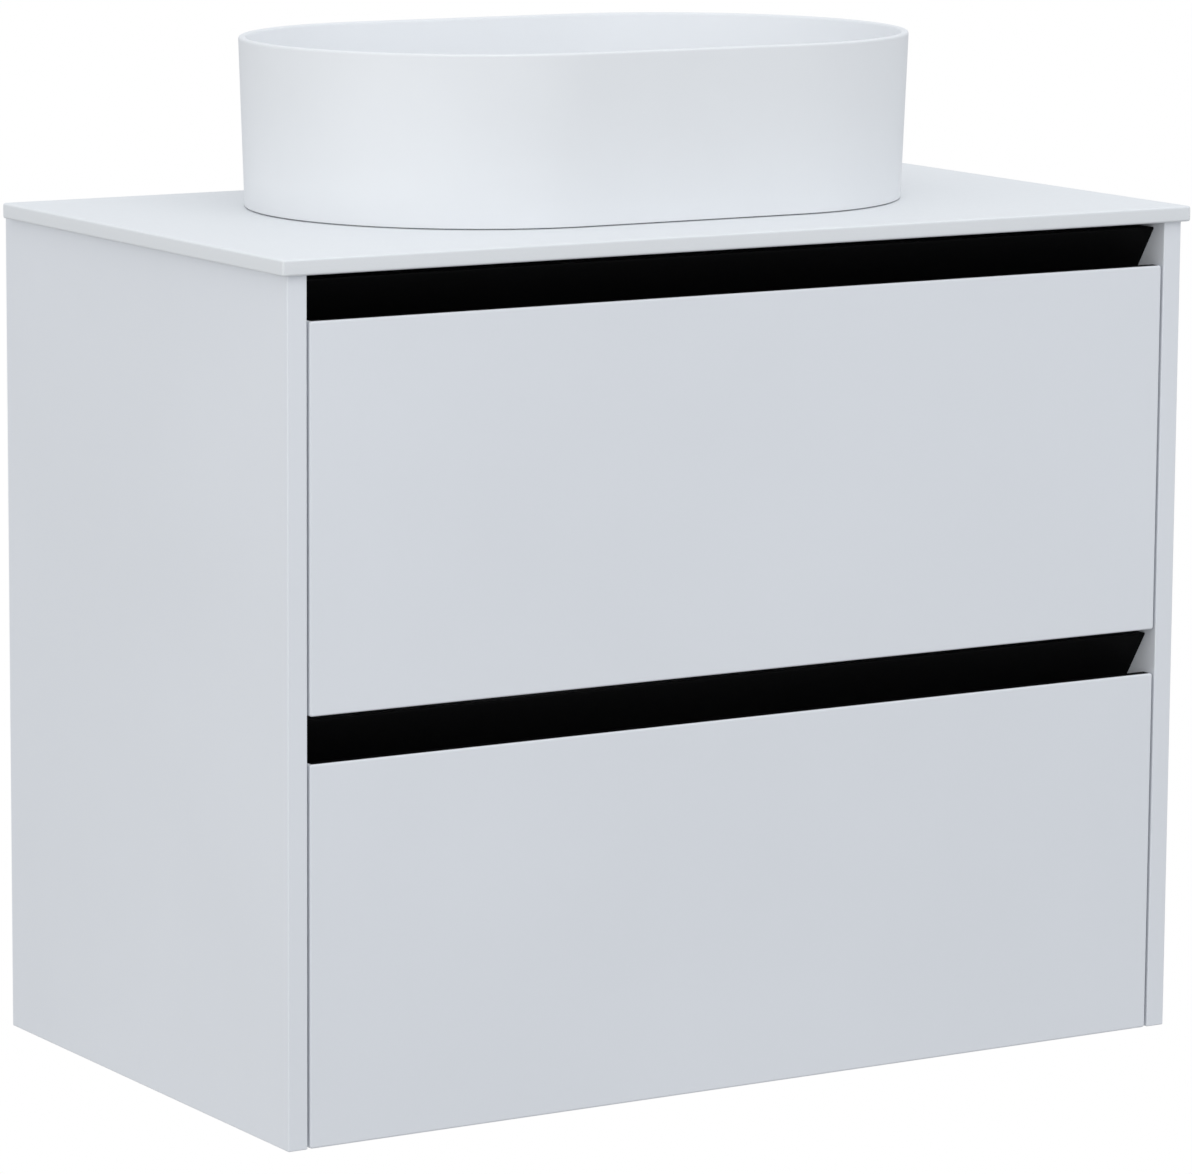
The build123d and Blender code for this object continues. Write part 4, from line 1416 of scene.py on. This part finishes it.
@dataclass
class Studio:
    """A pale floor under the hanging vanity, soft light from all round and the camera."""

    floor_drop: float = 0.55
    floor_size: float = 60.0
    sky: Triple = (0.94, 0.967, 1.0)
    horizon_strength: float = 0.71
    zenith_strength: float = 0.99
    floor_tone: float = 0.42
    lens: float = 183.2
    camera_at: Triple = (-2.4447, -4.1957, 0.8069)
    heading: float = 31.65
    look_down: float = 9.48
    roll: float = 0.40
    lights: tuple[SoftBox, ...] = field(
        default_factory=lambda: (
            SoftBox("overhead", (-0.3, -2.4, 3.0), (0.0, -0.3, 0.2), (3.0, 2.4), 24, (1.0, 0.99, 0.98)),
            SoftBox("front", (1.0, -4.6, 1.3), (0.0, -0.4, 0.1), (3.0, 2.4), 14, (0.94, 0.97, 1.0)),
            SoftBox("left", (-4.4, -1.3, 0.6), (-0.4, -0.25, 0.1), (2.8, 2.0), 38, (1.0, 0.985, 0.955)),
        )
    )

    def build(self) -> None:
        """Set up the floor, world, lights and camera."""
        bpy.context.scene.view_settings.view_transform = "Standard"
        self.floor()
        self.world()
        for light in self.lights:
            light.build()
        self.camera()

    def floor(self) -> None:
        """Lay the floor well below the vanity, which hangs on a wall."""
        low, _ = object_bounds()
        bm = bmesh.new()
        bmesh.ops.create_grid(bm, x_segments=4, y_segments=4, size=self.floor_size / 2)
        bmesh.ops.translate(bm, vec=Vector((0, 0, low.z - self.floor_drop)), verts=bm.verts)
        mesh = meshed(bm, "floor")
        mesh.materials.append(self.floor_material())
        placed("floor", mesh)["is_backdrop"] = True

    def floor_material(self) -> bpy.types.Material:
        """A floor that looks white and throws only a little light back up."""
        desk = NodeDesk("pale_floor")
        tone = (self.floor_tone,) * 3
        desk.tint(desk.spread(desk.noise(0.7, 3), (0.3, 0.7)), tone, shade(tone, 1.04))
        desk.set(desk.shader, Roughness=0.9, Specular_IOR_Level=0.0)
        mix = desk.node("MixShader")
        desk.link(desk.node("LightPath").outputs["Is Camera Ray"], mix.inputs["Fac"])
        desk.link(desk.shader.outputs["BSDF"], mix.inputs[1])
        desk.link(desk.node("Emission", Strength=1.0).outputs["Emission"], mix.inputs[2])
        desk.link(mix.outputs["Shader"], desk.output.inputs["Surface"])
        return desk.material

    def world(self) -> None:
        """Light from all round, brighter overhead."""
        world = bpy.data.worlds.new("studio")
        world.use_nodes = True
        background = world.node_tree.nodes["Background"]
        background.inputs["Color"].default_value = (*self.sky, 1.0)
        tree = world.node_tree
        kinds = ("TexCoord", "SeparateXYZ", "MapRange")
        place, split, climb = (tree.nodes.new("ShaderNode" + kind) for kind in kinds)
        climb.inputs["To Min"].default_value = self.horizon_strength
        climb.inputs["To Max"].default_value = self.zenith_strength
        tree.links.new(place.outputs["Generated"], split.inputs["Vector"])
        tree.links.new(split.outputs["Z"], climb.inputs["Value"])
        tree.links.new(climb.outputs["Result"], background.inputs["Strength"])
        bpy.context.scene.world = world

    def camera(self) -> None:
        """Stand the camera to the front left, looking slightly down."""
        data = bpy.data.cameras.new("camera")
        data.lens = self.lens
        data.sensor_width = 36.0
        camera = placed("camera", data)
        turns = ((-self.heading, "Z"), (90 - self.look_down, "X"), (self.roll, "Z"))
        camera.matrix_world = Matrix.Translation(self.camera_at)
        for degrees, axis in turns:
            camera.matrix_world @= Matrix.Rotation(radians(degrees), 4, axis)
        bpy.context.scene.camera = camera


def main() -> None:
    """Build every sub-assembly around the frame, then the studio."""
    logging.basicConfig(level=logging.INFO, format="%(message)s")
    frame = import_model()
    dresser = Dresser(Palette())
    Fittings(dresser).build(frame)
    axis = Basin(dresser).build()
    Countertop(dresser).build(axis)
    Carcass(dresser).build()
    for level in Level:
        FingerChannel(dresser, level).build()
        Drawer(dresser, level).build()
        for side in Side:
            Runner(dresser, level, side).build()
    Waste(dresser, axis).build()
    Studio().build()
    log.info("%d pieces made", dresser.made)


if __name__ == "__main__":
    main()
